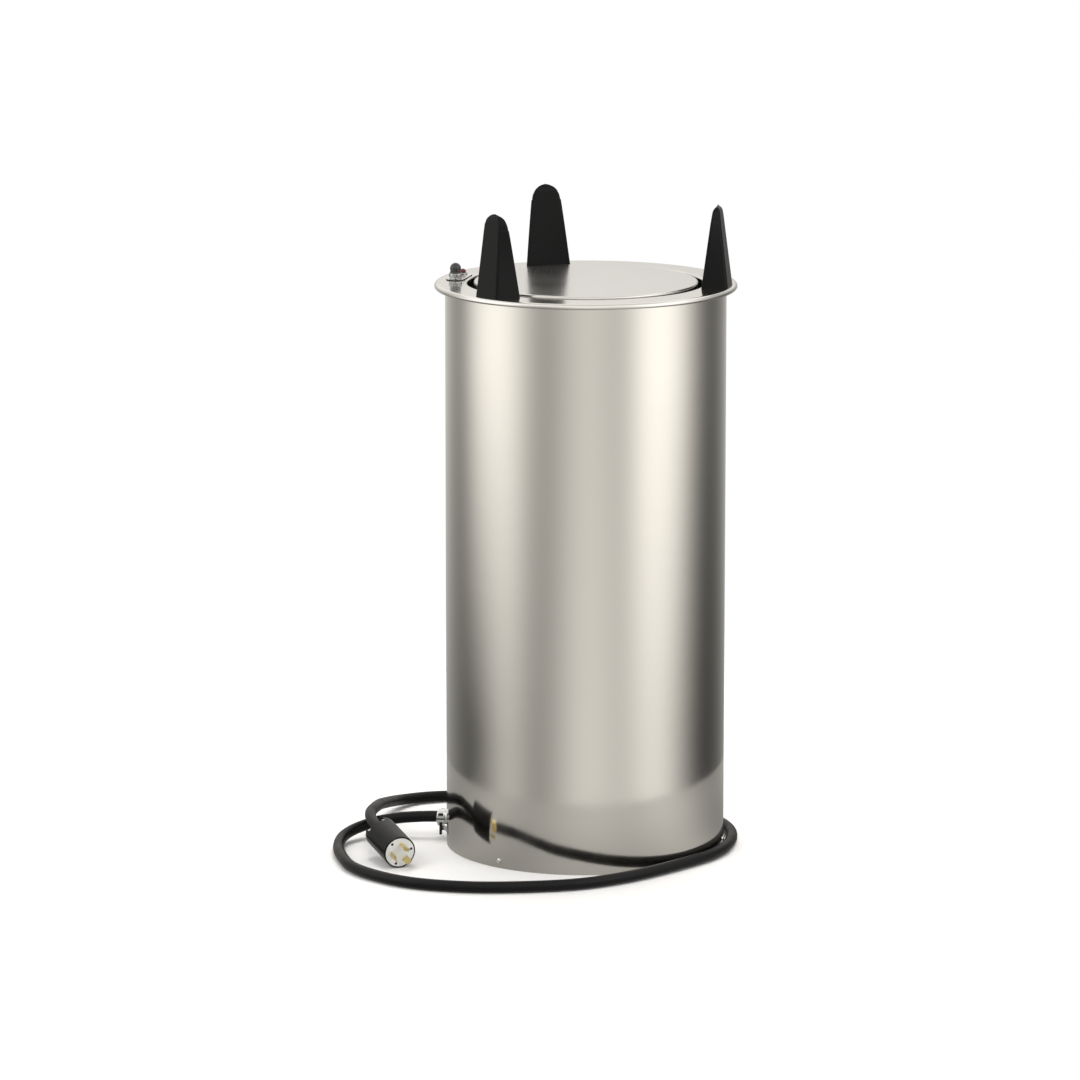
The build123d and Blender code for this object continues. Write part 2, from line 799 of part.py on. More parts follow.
with BuildPart() as pilot_bezel:
    with BuildSketch(control_plane.offset(-lamp_barrel_length)):
        with Locations(lamp_spot):
            Circle(lamp_barrel_radius)
    extrude(amount=lamp_barrel_length + plate_sheet)
    with BuildSketch(control_plane.offset(plate_sheet)):
        with Locations(lamp_spot):
            Circle(bezel_radius)
    extrude(amount=bezel_height)
    with BuildSketch(control_plane.offset(plate_sheet + bezel_seat)):
        with Locations(lamp_spot):
            Circle(lens_radius + 2 * fit_gap)
    extrude(amount=bezel_height, mode=Mode.SUBTRACT)
    fillet(pilot_bezel.edges().group_by(Axis.Z)[-1].sort_by(SortBy.RADIUS)[-1], bezel_round)
pilot_bezel.part.label = "pilot_bezel"
export_step(pilot_bezel.part, "parts/pilot_bezel.step")

lamp_point = control_plane.from_local_coords(Vector(*lamp_spot, plate_sheet + bezel_seat))
lamp_axis = Plane(
    origin=lamp_point,
    x_dir=polar(1, control_azimuth),
    z_dir=polar(1, control_azimuth - 90),
)
with BuildPart() as pilot_lens:
    with BuildSketch(lamp_axis):
        with BuildLine():
            Polyline(
                (0, lens_height),
                (0, 0),
                (lens_radius, 0),
                (lens_radius, lens_height - lens_radius),
            )
            ThreePointArc(
                (lens_radius, lens_height - lens_radius),
                (lens_radius * cos(radians(45)), lens_height - lens_radius * (1 - sin(radians(45)))),
                (0, lens_height),
            )
        make_face()
    revolve(axis=Axis(lamp_axis.origin, (0, 0, 1)))
pilot_lens.part.label = "pilot_lens"
export_step(pilot_lens.part, "parts/pilot_lens.step")

# Heating element: an open ring of tube on clips above the pan, its two cold pins turned outwards
element_start = wiring_azimuth + element_gap_angle / 2
element_sweep = 360 - element_gap_angle
pin_azimuths = (element_start + element_pin_turn, element_start + element_sweep - element_pin_turn)
with BuildPart() as heating_element:
    with BuildSketch(Plane(
        origin=(0, 0, element_height),
        x_dir=polar(1, element_start),
        z_dir=polar(1, element_start - 90),
    )):
        with Locations((element_radius, 0)):
            Circle(element_tube)
    revolve(axis=Axis.Z, revolution_arc=element_sweep)
    for azimuth in pin_azimuths:
        with BuildSketch(wall_plane(azimuth, element_radius, element_height)):
            Circle(element_pin_radius)
        extrude(amount=element_pin_length)
heating_element.part.label = "heating_element"
export_step(heating_element.part, "parts/heating_element.step")

with BuildPart() as element_clips:
    for azimuth in clip_azimuths:
        with BuildSketch(level_plane(azimuth, pan_top)):
            with Locations((element_radius, 0)):
                Rectangle(clip_depth, clip_width)
        extrude(amount=element_height - pan_top)
    with BuildSketch(Plane.XZ):
        with Locations((element_radius, element_height)):
            Circle(element_tube + fit_gap)
    revolve(axis=Axis.Z, mode=Mode.SUBTRACT)
element_clips.part.label = "element_clips"
export_step(element_clips.part, "parts/element_clips.step")

with BuildPart() as thermostat:
    with BuildSketch(level_plane(wiring_azimuth, pan_top)):
        with Locations((thermostat_circle, 0)):
            Circle(thermostat_radius)
    extrude(amount=thermostat_case_height)
    with BuildSketch(level_plane(wiring_azimuth, pan_top)):
        with Locations((thermostat_circle, 0)):
            Circle(thermostat_cap_radius)
    extrude(amount=thermostat_height)
thermostat.part.label = "thermostat"
export_step(thermostat.part, "parts/thermostat.step")

with BuildPart() as terminal_block:
    with BuildSketch(level_plane(wiring_azimuth, pan_top)):
        with Locations((block_circle, 0)):
            Rectangle(block_depth, block_length)
    extrude(amount=block_height)
terminal_block.part.label = "terminal_block"
export_step(terminal_block.part, "parts/terminal_block.step")

# Wires: from the switch down to the terminal block, and from the block to the supply and the heater
block_top = pan_top + block_height
block_plane = level_plane(wiring_azimuth, pan_top)
harness_top = flange_top - flange_sheet - switch_depth - terminal_length
harness_points = [
    Vector(switch_point.X, switch_point.Y, harness_top),
    Vector(switch_point.X, switch_point.Y, block_top + harness_upper_bend),
    block_plane.from_local_coords(
        Vector(harness_circle, -harness_side, block_height + harness_lower_bend)
    ),
    block_plane.from_local_coords(Vector(harness_circle, -harness_side, block_height)),
]
with BuildPart() as switch_wires:
    wires_path = bent_path(harness_points, harness_bend)
    with BuildSketch(first_plane(wires_path)):
        Circle(harness_radius)
    sweep(path=wires_path)
switch_wires.part.label = "switch_wires"
export_step(switch_wires.part, "parts/switch_wires.step")

supply_points = [
    relief.from_local_coords(Vector(0, 0, jacket_end)),
    relief.from_local_coords(Vector(0, 0, -supply_inner_run)),
    block_plane.from_local_coords(
        Vector(block_circle, -block_length / 2 - supply_entry_run, supply_entry_height)
    ),
    block_plane.from_local_coords(Vector(block_circle, -block_length / 2, supply_entry_height)),
]
with BuildPart() as supply_lead:
    supply_path = bent_path(supply_points, supply_bend)
    with BuildSketch(first_plane(supply_path)):
        Circle(supply_lead_radius)
    sweep(path=supply_path)
supply_lead.part.label = "supply_lead"
export_step(supply_lead.part, "parts/supply_lead.step")

with BuildPart() as heater_leads:
    block_face = block_circle - block_depth / 2
    for azimuth, side in zip(pin_azimuths, (lead_entry_side, -lead_entry_side)):
        pin_end = wall_plane(azimuth, element_radius + element_pin_length, element_height)
        lead_path = bent_path(
            [
                pin_end.origin,
                pin_end.from_local_coords(Vector(0, 0, lead_pin_run)),
                block_plane.from_local_coords(Vector(block_face - lead_entry_run, side, lead_entry_height)),
                block_plane.from_local_coords(Vector(block_face, side, lead_entry_height)),
            ],
            lead_bend,
        )
        with BuildSketch(first_plane(lead_path)):
            Circle(lead_radius)
        sweep(path=lead_path)
    thermostat_edge = thermostat_circle + thermostat_radius
    thermostat_path = bent_path(
        [
            block_plane.from_local_coords(Vector(thermostat_edge, 0, thermostat_lead_height)),
            block_plane.from_local_coords(
                Vector(thermostat_edge + thermostat_lead_run, thermostat_lead_swing, thermostat_lead_height)
            ),
            block_plane.from_local_coords(Vector(block_face, 0, thermostat_lead_height)),
        ],
        thermostat_lead_bend,
    )
    with BuildSketch(first_plane(thermostat_path)):
        Circle(lead_radius)
    sweep(path=thermostat_path)
heater_leads.part.label = "heater_leads"
export_step(heater_leads.part, "parts/heater_leads.step")

# Strain relief: a clamp connector with its throat through the body and a slanted brace below
with BuildPart() as relief_body:
    with BuildSketch(relief.offset(-relief_throat_length)):
        Circle(relief_throat_radius)
    extrude(amount=relief_throat_length + jaw_start)
    with BuildSketch(relief.offset(fit_gap)):
        Circle(relief_shoulder_radius)
    extrude(amount=jaw_start)
    with BuildSketch(relief.offset(jaw_start)):
        Circle(jaw_radius)
        with Locations((0, -jaw_split - ear_sheet / 2)):
            Rectangle(2 * ear_reach, ear_sheet)
        with Locations((0, jaw_radius - jaw_split)):
            Rectangle(2 * ear_reach, 2 * jaw_radius, mode=Mode.SUBTRACT)
    extrude(amount=relief_length - jaw_start)
    with BuildSketch(relief.offset(-relief_throat_length)):
        Circle(cord_bore)
    extrude(amount=relief_throat_length + relief_length, mode=Mode.SUBTRACT)
    with BuildSketch(Plane(origin=relief.origin, x_dir=relief.z_dir, z_dir=-relief.x_dir)):
        with BuildLine():
            Polyline(
                (relief_length - brace_sheet, -jaw_radius + brace_overlap),
                (relief_length, -jaw_radius + brace_overlap),
                (relief_length, -jaw_radius - brace_lip),
                (seat_gap, -brace_drop - brace_foot),
                (seat_gap, -brace_drop + brace_foot),
                close=True,
            )
        make_face()
    extrude(amount=brace_width / 2, both=True)
    with BuildSketch(Plane(origin=relief.origin, x_dir=relief.x_dir, z_dir=relief.y_dir)):
        with Locations(*ear_screw_spots):
            Circle(ear_screw_radius + fit_gap)
    extrude(amount=-2 * ear_sheet, mode=Mode.SUBTRACT)
relief_body.part.label = "relief_body"
export_step(relief_body.part, "parts/relief_body.step")

with BuildPart() as relief_saddle:
    with BuildSketch(relief.offset(jaw_start + seat_gap)):
        Circle(jaw_radius)
        with Locations((0, jaw_split + ear_sheet / 2)):
            Rectangle(2 * ear_reach, ear_sheet)
        Circle(cord_bore, mode=Mode.SUBTRACT)
        with Locations((0, jaw_split - jaw_radius)):
            Rectangle(2 * ear_reach, 2 * jaw_radius, mode=Mode.SUBTRACT)
    extrude(amount=relief_length - jaw_start - seat_gap)
    with BuildSketch(Plane(origin=relief.origin, x_dir=relief.x_dir, z_dir=relief.y_dir)):
        with Locations(*ear_screw_spots):
            Circle(ear_screw_radius + fit_gap)
    extrude(amount=2 * ear_sheet, mode=Mode.SUBTRACT)
relief_saddle.part.label = "relief_saddle"
export_step(relief_saddle.part, "parts/relief_saddle.step")

with BuildPart() as relief_screws:
    ear_top = Plane(
        origin=relief.from_local_coords(Vector(0, jaw_split + ear_sheet, 0)),
        x_dir=relief.x_dir,
        z_dir=relief.y_dir,
    )
    with BuildSketch(ear_top):
        with Locations(*ear_screw_spots):
            Circle(ear_head_radius)
    extrude(amount=ear_head_height)
    with BuildSketch(ear_top):
        with Locations(*ear_screw_spots):
            Circle(ear_screw_radius)
    extrude(amount=-ear_screw_tail - jaw_split - ear_sheet)
relief_screws.part.label = "relief_screws"
export_step(relief_screws.part, "parts/relief_screws.step")

locknut_sag = shroud_inner - sqrt(shroud_inner**2 - locknut_radius**2)
with BuildPart() as relief_locknut:
    with BuildSketch(relief.offset(-shroud_wall - locknut_sag - fit_gap)):
        RegularPolygon(locknut_radius, 8)
        Circle(relief_throat_radius + fit_gap, mode=Mode.SUBTRACT)
    extrude(amount=-locknut_sheet)
relief_locknut.part.label = "relief_locknut"
export_step(relief_locknut.part, "parts/relief_locknut.step")

# Plug: shell, face, blades and clamp, all square to the plug's own axis
plug_axis = Vector(*plug_direction).normalized()
plug_level = Vector(-plug_axis.Y, plug_axis.X, 0).normalized()
plug_upright = plug_axis.cross(plug_level)
plug_across = plug_level * cos(radians(plug_roll)) + plug_upright * sin(radians(plug_roll))
plug = Plane(origin=plug_rear, x_dir=plug_across, z_dir=plug_axis)
face_origin = plug.offset(plug_length - plug_face_sheet).origin
face_plane = Plane(origin=face_origin, x_dir=plug_level, z_dir=plug_axis)

with BuildPart() as plug_shell:
    with BuildSketch(plug):
        Circle(plug_radius)
    extrude(amount=plug_length)
    fillet(
        plug_shell.edges().filter_by(GeomType.CIRCLE).sort_by(Axis(plug.origin, plug.z_dir))[-1],
        plug_edge,
    )
    with BuildSketch(plug):
        Rectangle(plug_channel_width, 2 * (plug_radius + cut_spare))
    extrude(amount=plug_channel_depth, mode=Mode.SUBTRACT)
    with BuildSketch(face_plane):
        Circle(plug_face_radius)
    extrude(amount=plug_face_sheet, mode=Mode.SUBTRACT)
plug_shell.part.label = "plug_shell"
export_step(plug_shell.part, "parts/plug_shell.step")


def blade_outlines(gap):
    """Curved outlines of the three blades, grown all round by a gap."""
    half_turn = radians(blade_angle / 2)
    inner = blade_circle - blade_sheet / 2 - gap
    outer = blade_circle + blade_sheet / 2 + gap
    spare = gap / blade_circle
    with BuildSketch() as outlines:
        for number in range(blade_count):
            middle = radians(blade_roll + number * 360 / blade_count)
            low = middle - half_turn - spare
            high = middle + half_turn + spare
            with BuildLine():
                ThreePointArc(
                    (inner * cos(low), inner * sin(low)),
                    (inner * cos(middle), inner * sin(middle)),
                    (inner * cos(high), inner * sin(high)),
                )
                Line((inner * cos(high), inner * sin(high)), (outer * cos(high), outer * sin(high)))
                ThreePointArc(
                    (outer * cos(high), outer * sin(high)),
                    (outer * cos(middle), outer * sin(middle)),
                    (outer * cos(low), outer * sin(low)),
                )
                Line((outer * cos(low), outer * sin(low)), (inner * cos(low), inner * sin(low)))
            make_face()
    return outlines.sketch


with BuildPart() as plug_face:
    with BuildSketch(face_plane):
        Circle(plug_face_radius - fit_gap)
    extrude(amount=plug_face_sheet)
    with BuildSketch(face_plane):
        add(blade_outlines(fit_gap))
    extrude(amount=plug_face_sheet, mode=Mode.SUBTRACT)
    with BuildSketch(face_plane):
        with PolarLocations(face_screw_circle, blade_count, start_angle=blade_roll - 180 / blade_count):
            Circle(face_screw_radius + fit_gap)
    extrude(amount=plug_face_sheet, mode=Mode.SUBTRACT)
plug_face.part.label = "plug_face"
export_step(plug_face.part, "parts/plug_face.step")

with BuildPart() as plug_blades:
    with BuildSketch(face_plane):
        add(blade_outlines(0))
    extrude(amount=plug_face_sheet + blade_length)
    hook_angle = radians(blade_roll)
    hook_middle = blade_circle - blade_hook / 2
    with BuildSketch(face_plane.offset(plug_face_sheet + blade_length - blade_hook)):
        with Locations((hook_middle * cos(hook_angle), hook_middle * sin(hook_angle))):
            Rectangle(blade_hook, 2 * blade_hook, rotation=blade_roll)
    extrude(amount=blade_hook)
plug_blades.part.label = "plug_blades"
export_step(plug_blades.part, "parts/plug_blades.step")

with BuildPart() as plug_face_screws:
    with BuildSketch(face_plane):
        with PolarLocations(face_screw_circle, blade_count, start_angle=blade_roll - 180 / blade_count):
            Circle(face_screw_radius)
    extrude(amount=plug_face_sheet - face_screw_recess)
plug_face_screws.part.label = "plug_face_screws"
export_step(plug_face_screws.part, "parts/plug_face_screws.step")

with BuildPart() as plug_clamp:
    for side in (1, -1):
        with BuildSketch(plug.offset(plug_clamp_inset)):
            with Locations((0, side * (plug_clamp_width / 2 + jaw_split / 2))):
                Rectangle(plug_channel_width - 2 * seat_gap, plug_clamp_width)
        extrude(amount=plug_channel_depth - plug_clamp_inset)
    with BuildSketch(plug):
        Circle(cord_bore)
    extrude(amount=plug_channel_depth, mode=Mode.SUBTRACT)
    clamp_origin = plug.offset(plug_channel_depth / 2).origin
    with BuildSketch(Plane(origin=clamp_origin, x_dir=plug.x_dir, z_dir=plug.y_dir)):
        with Locations(*plug_clamp_spots):
            Circle(plug_clamp_screw_radius + fit_gap)
    extrude(amount=2 * plug_clamp_width, both=True, mode=Mode.SUBTRACT)
plug_clamp.part.label = "plug_clamp"
export_step(plug_clamp.part, "parts/plug_clamp.step")

with BuildPart() as plug_clamp_screws:
    clamp_top = jaw_split / 2 + plug_clamp_width
    screw_plane = Plane(
        origin=plug.from_local_coords(Vector(0, clamp_top, plug_channel_depth / 2)),
        x_dir=plug.x_dir,
        z_dir=plug.y_dir,
    )
    with BuildSketch(screw_plane):
        with Locations(*plug_clamp_spots):
            Circle(plug_clamp_head_radius)
    extrude(amount=plug_clamp_head_height)
    with BuildSketch(screw_plane):
        with Locations(*plug_clamp_spots):
            Circle(plug_clamp_screw_radius)
    extrude(amount=-2 * clamp_top)
plug_clamp_screws.part.label = "plug_clamp_screws"
export_step(plug_clamp_screws.part, "parts/plug_clamp_screws.step")

# Power cord: out of the clamp, once round the body, over itself and into the plug
cord_floor = cord_radius
cord_points = [
    relief.from_local_coords(Vector(0, 0, jacket_end)),
    relief.from_local_coords(Vector(0, 0, cord_exit_run)),
    Vector(-250, 16, 18.5),
    Vector(-287, -13, 11),
    Vector(-304, -60, cord_floor),
    Vector(-301, -122, cord_floor),
    Vector(-268, -184, cord_floor),
    Vector(-212, -232, cord_floor),
    Vector(-140, -255, cord_floor),
    Vector(-62, -254, cord_floor),
    Vector(12, -233, cord_floor),
    Vector(76, -197, cord_floor),
    Vector(131, -148, cord_floor),
    Vector(172, -88, cord_floor),
    Vector(191, -16, cord_floor),
    Vector(187, 58, cord_floor),
    Vector(158, 124, cord_floor),
    Vector(104, 172, cord_floor),
    Vector(32, 199, cord_floor),
    Vector(-44, 209, cord_floor),
    Vector(-121, 211, cord_floor),
    Vector(-194, 208, cord_floor),
    Vector(-237, 170, 8),
    Vector(-253, 110, 20),
    Vector(-260, 50, 33.5),
    plug.from_local_coords(Vector(0, 0, -plug_cord_run)),
    plug.from_local_coords(Vector(0, 0, plug_channel_depth)),
]
runs = [after - before for before, after in zip(cord_points, cord_points[1:])]
turns = [before.get_angle(after) for before, after in zip(runs, runs[1:])]
radii = [
    bend_share * min(before.length, after.length) / tan(radians(turn / 2))
    for before, after, turn in zip(runs, runs[1:], turns)
]
with BuildPart() as power_cord:
    cord_path = bent_path(cord_points, radii)
    with BuildSketch(first_plane(cord_path)):
        Circle(cord_radius)
    sweep(path=cord_path)
power_cord.part.label = "power_cord"
export_step(power_cord.part, "parts/power_cord.step")

section = pi * cord_radius**2
print("cord radii", [round(radius) for radius in radii])
print("cord turns", [round(turn) for turn in turns])
print("cord runs", [round(run.length) for run in runs])
volume_share = power_cord.part.volume / (section * cord_path.length)
print("cord length", round(cord_path.length), "volume share", volume_share)
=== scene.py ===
"""Looks of a drop-in heated plate dispenser: steel, posts, controls, cord and the studio round it."""
import json
from math import cos, pi, radians, sin

import bmesh
import bpy
import numpy as np
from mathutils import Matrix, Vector


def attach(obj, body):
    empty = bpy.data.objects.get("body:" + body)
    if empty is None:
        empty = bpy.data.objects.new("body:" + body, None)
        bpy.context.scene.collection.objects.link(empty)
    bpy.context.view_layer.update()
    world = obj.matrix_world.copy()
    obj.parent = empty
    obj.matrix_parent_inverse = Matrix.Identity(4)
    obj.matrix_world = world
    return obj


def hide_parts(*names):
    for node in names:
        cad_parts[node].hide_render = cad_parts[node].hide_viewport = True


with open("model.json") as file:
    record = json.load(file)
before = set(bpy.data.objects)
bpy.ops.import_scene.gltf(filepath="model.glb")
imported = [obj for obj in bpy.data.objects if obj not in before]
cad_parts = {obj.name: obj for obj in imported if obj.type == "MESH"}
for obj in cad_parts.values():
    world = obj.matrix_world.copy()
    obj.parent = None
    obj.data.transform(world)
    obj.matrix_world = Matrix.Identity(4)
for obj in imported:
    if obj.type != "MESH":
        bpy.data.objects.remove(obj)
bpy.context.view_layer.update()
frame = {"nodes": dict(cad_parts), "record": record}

# Lengths are in metres in the scene; sizes are in millimetres unless a comment says otherwise.
MM = 0.001

# Casing
body_radius = 165.1
body_height = 673.0
shroud_wall = 1.0
shroud_edge = 0.3
flange_radius = 177.8
flange_top = 674.5
flange_sheet = 1.5
lip_bottom = 668.0
lip_corner = 4.0
lip_tuck = 1.6  # how far the lip's end is turned in, and over what height
tuck_bends = (2.0, 0.5)  # radii outside and inside where it turns in
tuck_slant = 0.7  # share of the sheet's thickness that its slanted end takes in each direction
tuck_mitre = 0.4  # share by which its inner bend is raised
edge_break = 0.4  # radius of a sheet's broken edges
well_radius = 139.0
collar_bottom = 662.5
collar_corner = 2.5
platform_radius = 131.5
platform_top = 676.5
platform_sheet = 1.2
platform_rim = 6.0
platform_corner = 2.4
ring_steps = 384

# Guide posts
post_azimuths = (107.6, 227.6, 347.6)
post_inner = 142.5
post_depth = 29.5
post_height = 96.0
post_widths = (56.0, 33.0)
post_top_widths = (36.4, 22.0)
post_top_depth = 6.4
post_top_lean = 11.3
post_round = 19.0
post_edge = 3.8
post_tip = 8.0  # radius at which both broad sides lean in to the tip
post_outer_round = 10.5  # round end of the narrow outer side
post_lean_limit = 0.46  # most of the depth that one side's lean takes
post_edge_limits = (0.42, 0.8)  # most of the depth and of the outer half width that an edge's radius takes
post_inner_edge = 0.45  # radius of an inner edge against an outer one
post_brace = 0.05  # distance of a corner's support points from it, against the side's length

# Controls
control_azimuth = 166.6
control_radius = 153.0
control_spacing = 35.6
boot_radius = 6.5
boot_base = 680.0
boot_top = 694.5
boot_bore = 5.2
boot_bore_top = 687.0
boot_crown = 1.2  # thickness of the rubber at the top
boot_fold = (683.4, 684.1, 684.8)  # heights at which its fold starts, is deepest and ends
boot_fold_depth = 0.35
boot_shoulder = 687.6  # height at which the dome starts
ring_bottom = 678.5
ring_top = 682.5
ring_radius = 7.9
ring_bore = 6.8
nut_bottom = 675.7
nut_top = 678.5
nut_flats = 14.3
nut_bore = 6.0
nut_bevel_start = 0.49  # radius of the bevel's cone at a face, against the flats
nut_bevel_rise = 1.7  # how much that radius grows with the distance from the face
lens_radius = 3.6
lens_bottom = 676.1
lens_height = 6.4
lens_skirt = 3.4  # height of the straight part below the dome
bezel_radius = 5.4
bezel_bore = 3.7
bezel_bottom = 675.7
bezel_top = 677.9

# Screws round the bottom
base_screw_azimuths = (111.9, 231.9, 351.9)
base_screw_height = 8.2
base_screw_radius = 2.0
base_screw_tip = (-6.2, -7.0)  # where the shank starts to narrow and where it ends
base_head_radius = 3.1
base_head_height = 2.0
base_head_rim = 0.25  # share of the head's height that its rim has
base_head_gap = 0.02  # between the head's underside and the body
recess_depth = 0.9
recess_half_width = 0.42
recess_reach = 1.7
recess_edges = (14, 8)  # how steeply its arms' sides and its ends rise

# Cord: the points that its line bends round, from the clamp on the body to the plug
cord_radius = 6.75
cord_points = (
    (-164.69, 17.31, 25.8), (-203.98, 21.44, 25.8), (-253.9, 21.9, 18.5), (-287.8, -8.2, 11),
    (-293.9, -54.2, 6.75), (-287, -105.5, 6.75), (-271.5, -164.1, 6.75), (-213, -224.6, 6.75),
    (-141, -247.1, 6.75), (-70.3, -245.4, 6.75), (-6, -232.9, 6.75), (52.5, -196.7, 6.75),
    (106.9, -143.1, 6.75), (157.8, -85, 6.75), (176.7, -17.3, 6.75), (173.9, 46.3, 6.75),
    (141.7, 110.3, 6.75), (93.5, 159.2, 6.75), (26.8, 186.9, 6.75), (-43.4, 197.8, 6.75),
    (-114.7, 200.3, 6.75), (-182, 200, 6.75), (-226, 172, 8.5),
    (-240.5, 114, 19.5), (-249.5, 47, 32.8), (-260.23, -24.49, 35.73), (-238.14, -80.69, 27.13),
)


def colour(code):
    """Linear colour of an sRGB hex code."""
    parts = np.array([int(code[k:k + 2], 16) for k in (0, 2, 4)]) / 255
    linear = np.where(parts <= 0.04045, parts / 12.92, ((parts + 0.055) / 1.055) ** 2.4)
    return (*linear.tolist(), 1.0)


def placed(name, data):
    """Object that holds the data, linked into the scene."""
    thing = bpy.data.objects.new(name, data)
    bpy.context.scene.collection.objects.link(thing)
    return thing


# Camera: a long lens in front of the body, a little to its left and looking down eleven degrees
camera_data = bpy.data.cameras.new("camera")
camera_data.sensor_width = 36
camera_data.lens = 190.72
camera_data.clip_end = 100
camera = placed("camera", camera_data)
camera.location = (-0.0537, -6.6395, 1.6652)
camera.rotation_euler = (radians(78.93), 0, 0)
bpy.context.scene.camera = camera
bpy.context.scene.view_settings.view_transform = "Standard"


def add(tree, kind, settings=None, links=None):
    """Adds a node, sets its own settings and its sockets' values, and links sockets to other outputs."""
    node = tree.nodes.new(kind)
    for key, value in (settings or {}).items():
        if isinstance(key, str) and hasattr(node, key):
            setattr(node, key, value)
        else:
            node.inputs[key].default_value = value
    for key, source in (links or {}).items():
        tree.links.new(source, node.inputs[key])
    return node


def new_material(name):
    """Empty material of node type and its output node."""
    material = bpy.data.materials.new(name)
    material.use_nodes = True
    material.node_tree.nodes.clear()
    return material, add(material.node_tree, "ShaderNodeOutputMaterial")


def finish_material(material, output, shader):
    """Links a material's shader to its output."""
    material.node_tree.links.new(shader.outputs[0], output.inputs["Surface"])
    return material


def textured_material(name):
    """Empty material, its output node, its tree and the object's own coordinates in it."""
    material, output = new_material(name)
    tree = material.node_tree
    return material, output, tree, add(tree, "ShaderNodeTexCoord").outputs["Object"]


def noise(tree, place, size, detail, roughness=0.5):
    """Noise whose coarsest marks are about the given size in millimetres."""
    return add(tree, "ShaderNodeTexNoise",
               {"Scale": 1 / (size * MM), "Detail": detail, "Roughness": roughness}, {"Vector": place})


def from_to(tree, source, low, high, least, most):
    """Value that runs from least to most while its source runs from low to high."""
    return add(tree, "ShaderNodeMapRange",
               {"From Min": low, "From Max": high, "To Min": least, "To Max": most}, {"Value": source})


def relief(tree, texture, strength, depth, under=None):
    """Relief of a texture, of a depth in millimetres, over another relief where one is given."""
    links = {"Height": texture.outputs["Fac"]}
    if under is not None:
        links["Normal"] = under.outputs[0]
    return add(tree, "ShaderNodeBump", {"Strength": strength, "Distance": depth * MM}, links)


def metal(tree, code, roughness, raised):
    """Shader of bare metal with a colour, a roughness and a relief."""
    return add(tree, "ShaderNodeBsdfPrincipled", {"Base Color": colour(code), "Metallic": 1.0},
               {"Roughness": roughness.outputs[0], "Normal": raised.outputs[0]})


def sheet_steel(name, code, rough, rough_span, grain, grain_depth, cloud_size, wave_depth):
    """Stainless sheet: a metal whose rolling grain runs along Z and whose cold-rolled haze comes in clouds.

    The grain is noise of the given width in millimetres, sixteen times as long as it is wide. The haze and
    the sheet's slight waviness are noise of the given cloud size.
    """
    material, output, tree, place = textured_material(name)
    stretched = add(tree, "ShaderNodeMapping", {"Scale": (1, 1, 1 / 16)}, {"Vector": place})
    fine = noise(tree, stretched.outputs[0], grain, 3.0, 0.6)
    clouds = noise(tree, place, cloud_size, 4.0, 0.55)
    mixed = add(tree, "ShaderNodeMath", {"operation": "MULTIPLY_ADD", 1: 0.4},
                {0: fine.outputs["Fac"], 2: clouds.outputs["Fac"]})
    roughness = from_to(tree, mixed.outputs[0], 0.45, 0.95, rough - rough_span, rough + rough_span)
    waved = relief(tree, clouds, 0.6, wave_depth, relief(tree, fine, 0.5, grain_depth))
    return finish_material(material, output, metal(tree, code, roughness, waved))


def plated_metal(name, code, rough, speck, speck_depth):
    """Plated or machined metal: smooth, with faint pits and marks of the given size in millimetres."""
    material, output, tree, place = textured_material(name)
    marks = noise(tree, place, speck, 4.0, 0.6)
    roughness = from_to(tree, marks.outputs["Fac"], 0.3, 0.7, rough * 0.7, rough * 1.3)
    return finish_material(material, output, metal(tree, code, roughness, relief(tree, marks, 0.5, speck_depth)))


def moulded(name, dark, light, rough, texture, depth, ior=1.5, coat=0.0, gloss=0.5):
    """Moulded plastic, rubber or ceramic: a texture of the given size in millimetres stands out by a depth.

    The colour drifts between two close shades, in patches 22 times as large as the texture, as it does
    where the mould's finish and wear differ.
    """
    material, output, tree, place = textured_material(name)
    fine = noise(tree, place, texture, 2.0)
    drift = noise(tree, place, 22 * texture, 3.0)
    shade = add(tree, "ShaderNodeMix", {"data_type": "RGBA", 6: colour(dark), 7: colour(light)},
                {"Factor": drift.outputs["Fac"]})
    roughness = from_to(tree, drift.outputs["Fac"], 0.3, 0.7, rough * 0.85, rough * 1.15)
    raised = relief(tree, fine, 0.6, depth)
    shader = add(
        tree, "ShaderNodeBsdfPrincipled",
        {"IOR": ior, "Coat Weight": coat, "Coat Roughness": 0.05, "Specular IOR Level": gloss},
        {"Base Color": shade.outputs[2], "Roughness": roughness.outputs[0], "Normal": raised.outputs[0]},
    )
    return finish_material(material, output, shader)


wave_scale = 0.314  # scale at which the bands of a wave texture are a metre apart


def coiled_wire(name, code, rough, pitch):
    """Drawn spring wire wound close: bands across Z at the wire's pitch in millimetres, each rounded."""
    material, output, tree, place = textured_material(name)
    turns = add(
        tree, "ShaderNodeTexWave",
        {"wave_type": "BANDS", "bands_direction": "Z", "wave_profile": "SIN", "Scale": wave_scale / (pitch * MM)},
        {"Vector": place},
    )
    shader = add(
        tree, "ShaderNodeBsdfPrincipled", {"Base Color": colour(code), "Metallic": 1.0, "Roughness": rough},
        {"Normal": relief(tree, turns, 1.0, 0.4 * pitch).outputs[0]},
    )
    return finish_material(material, output, shader)


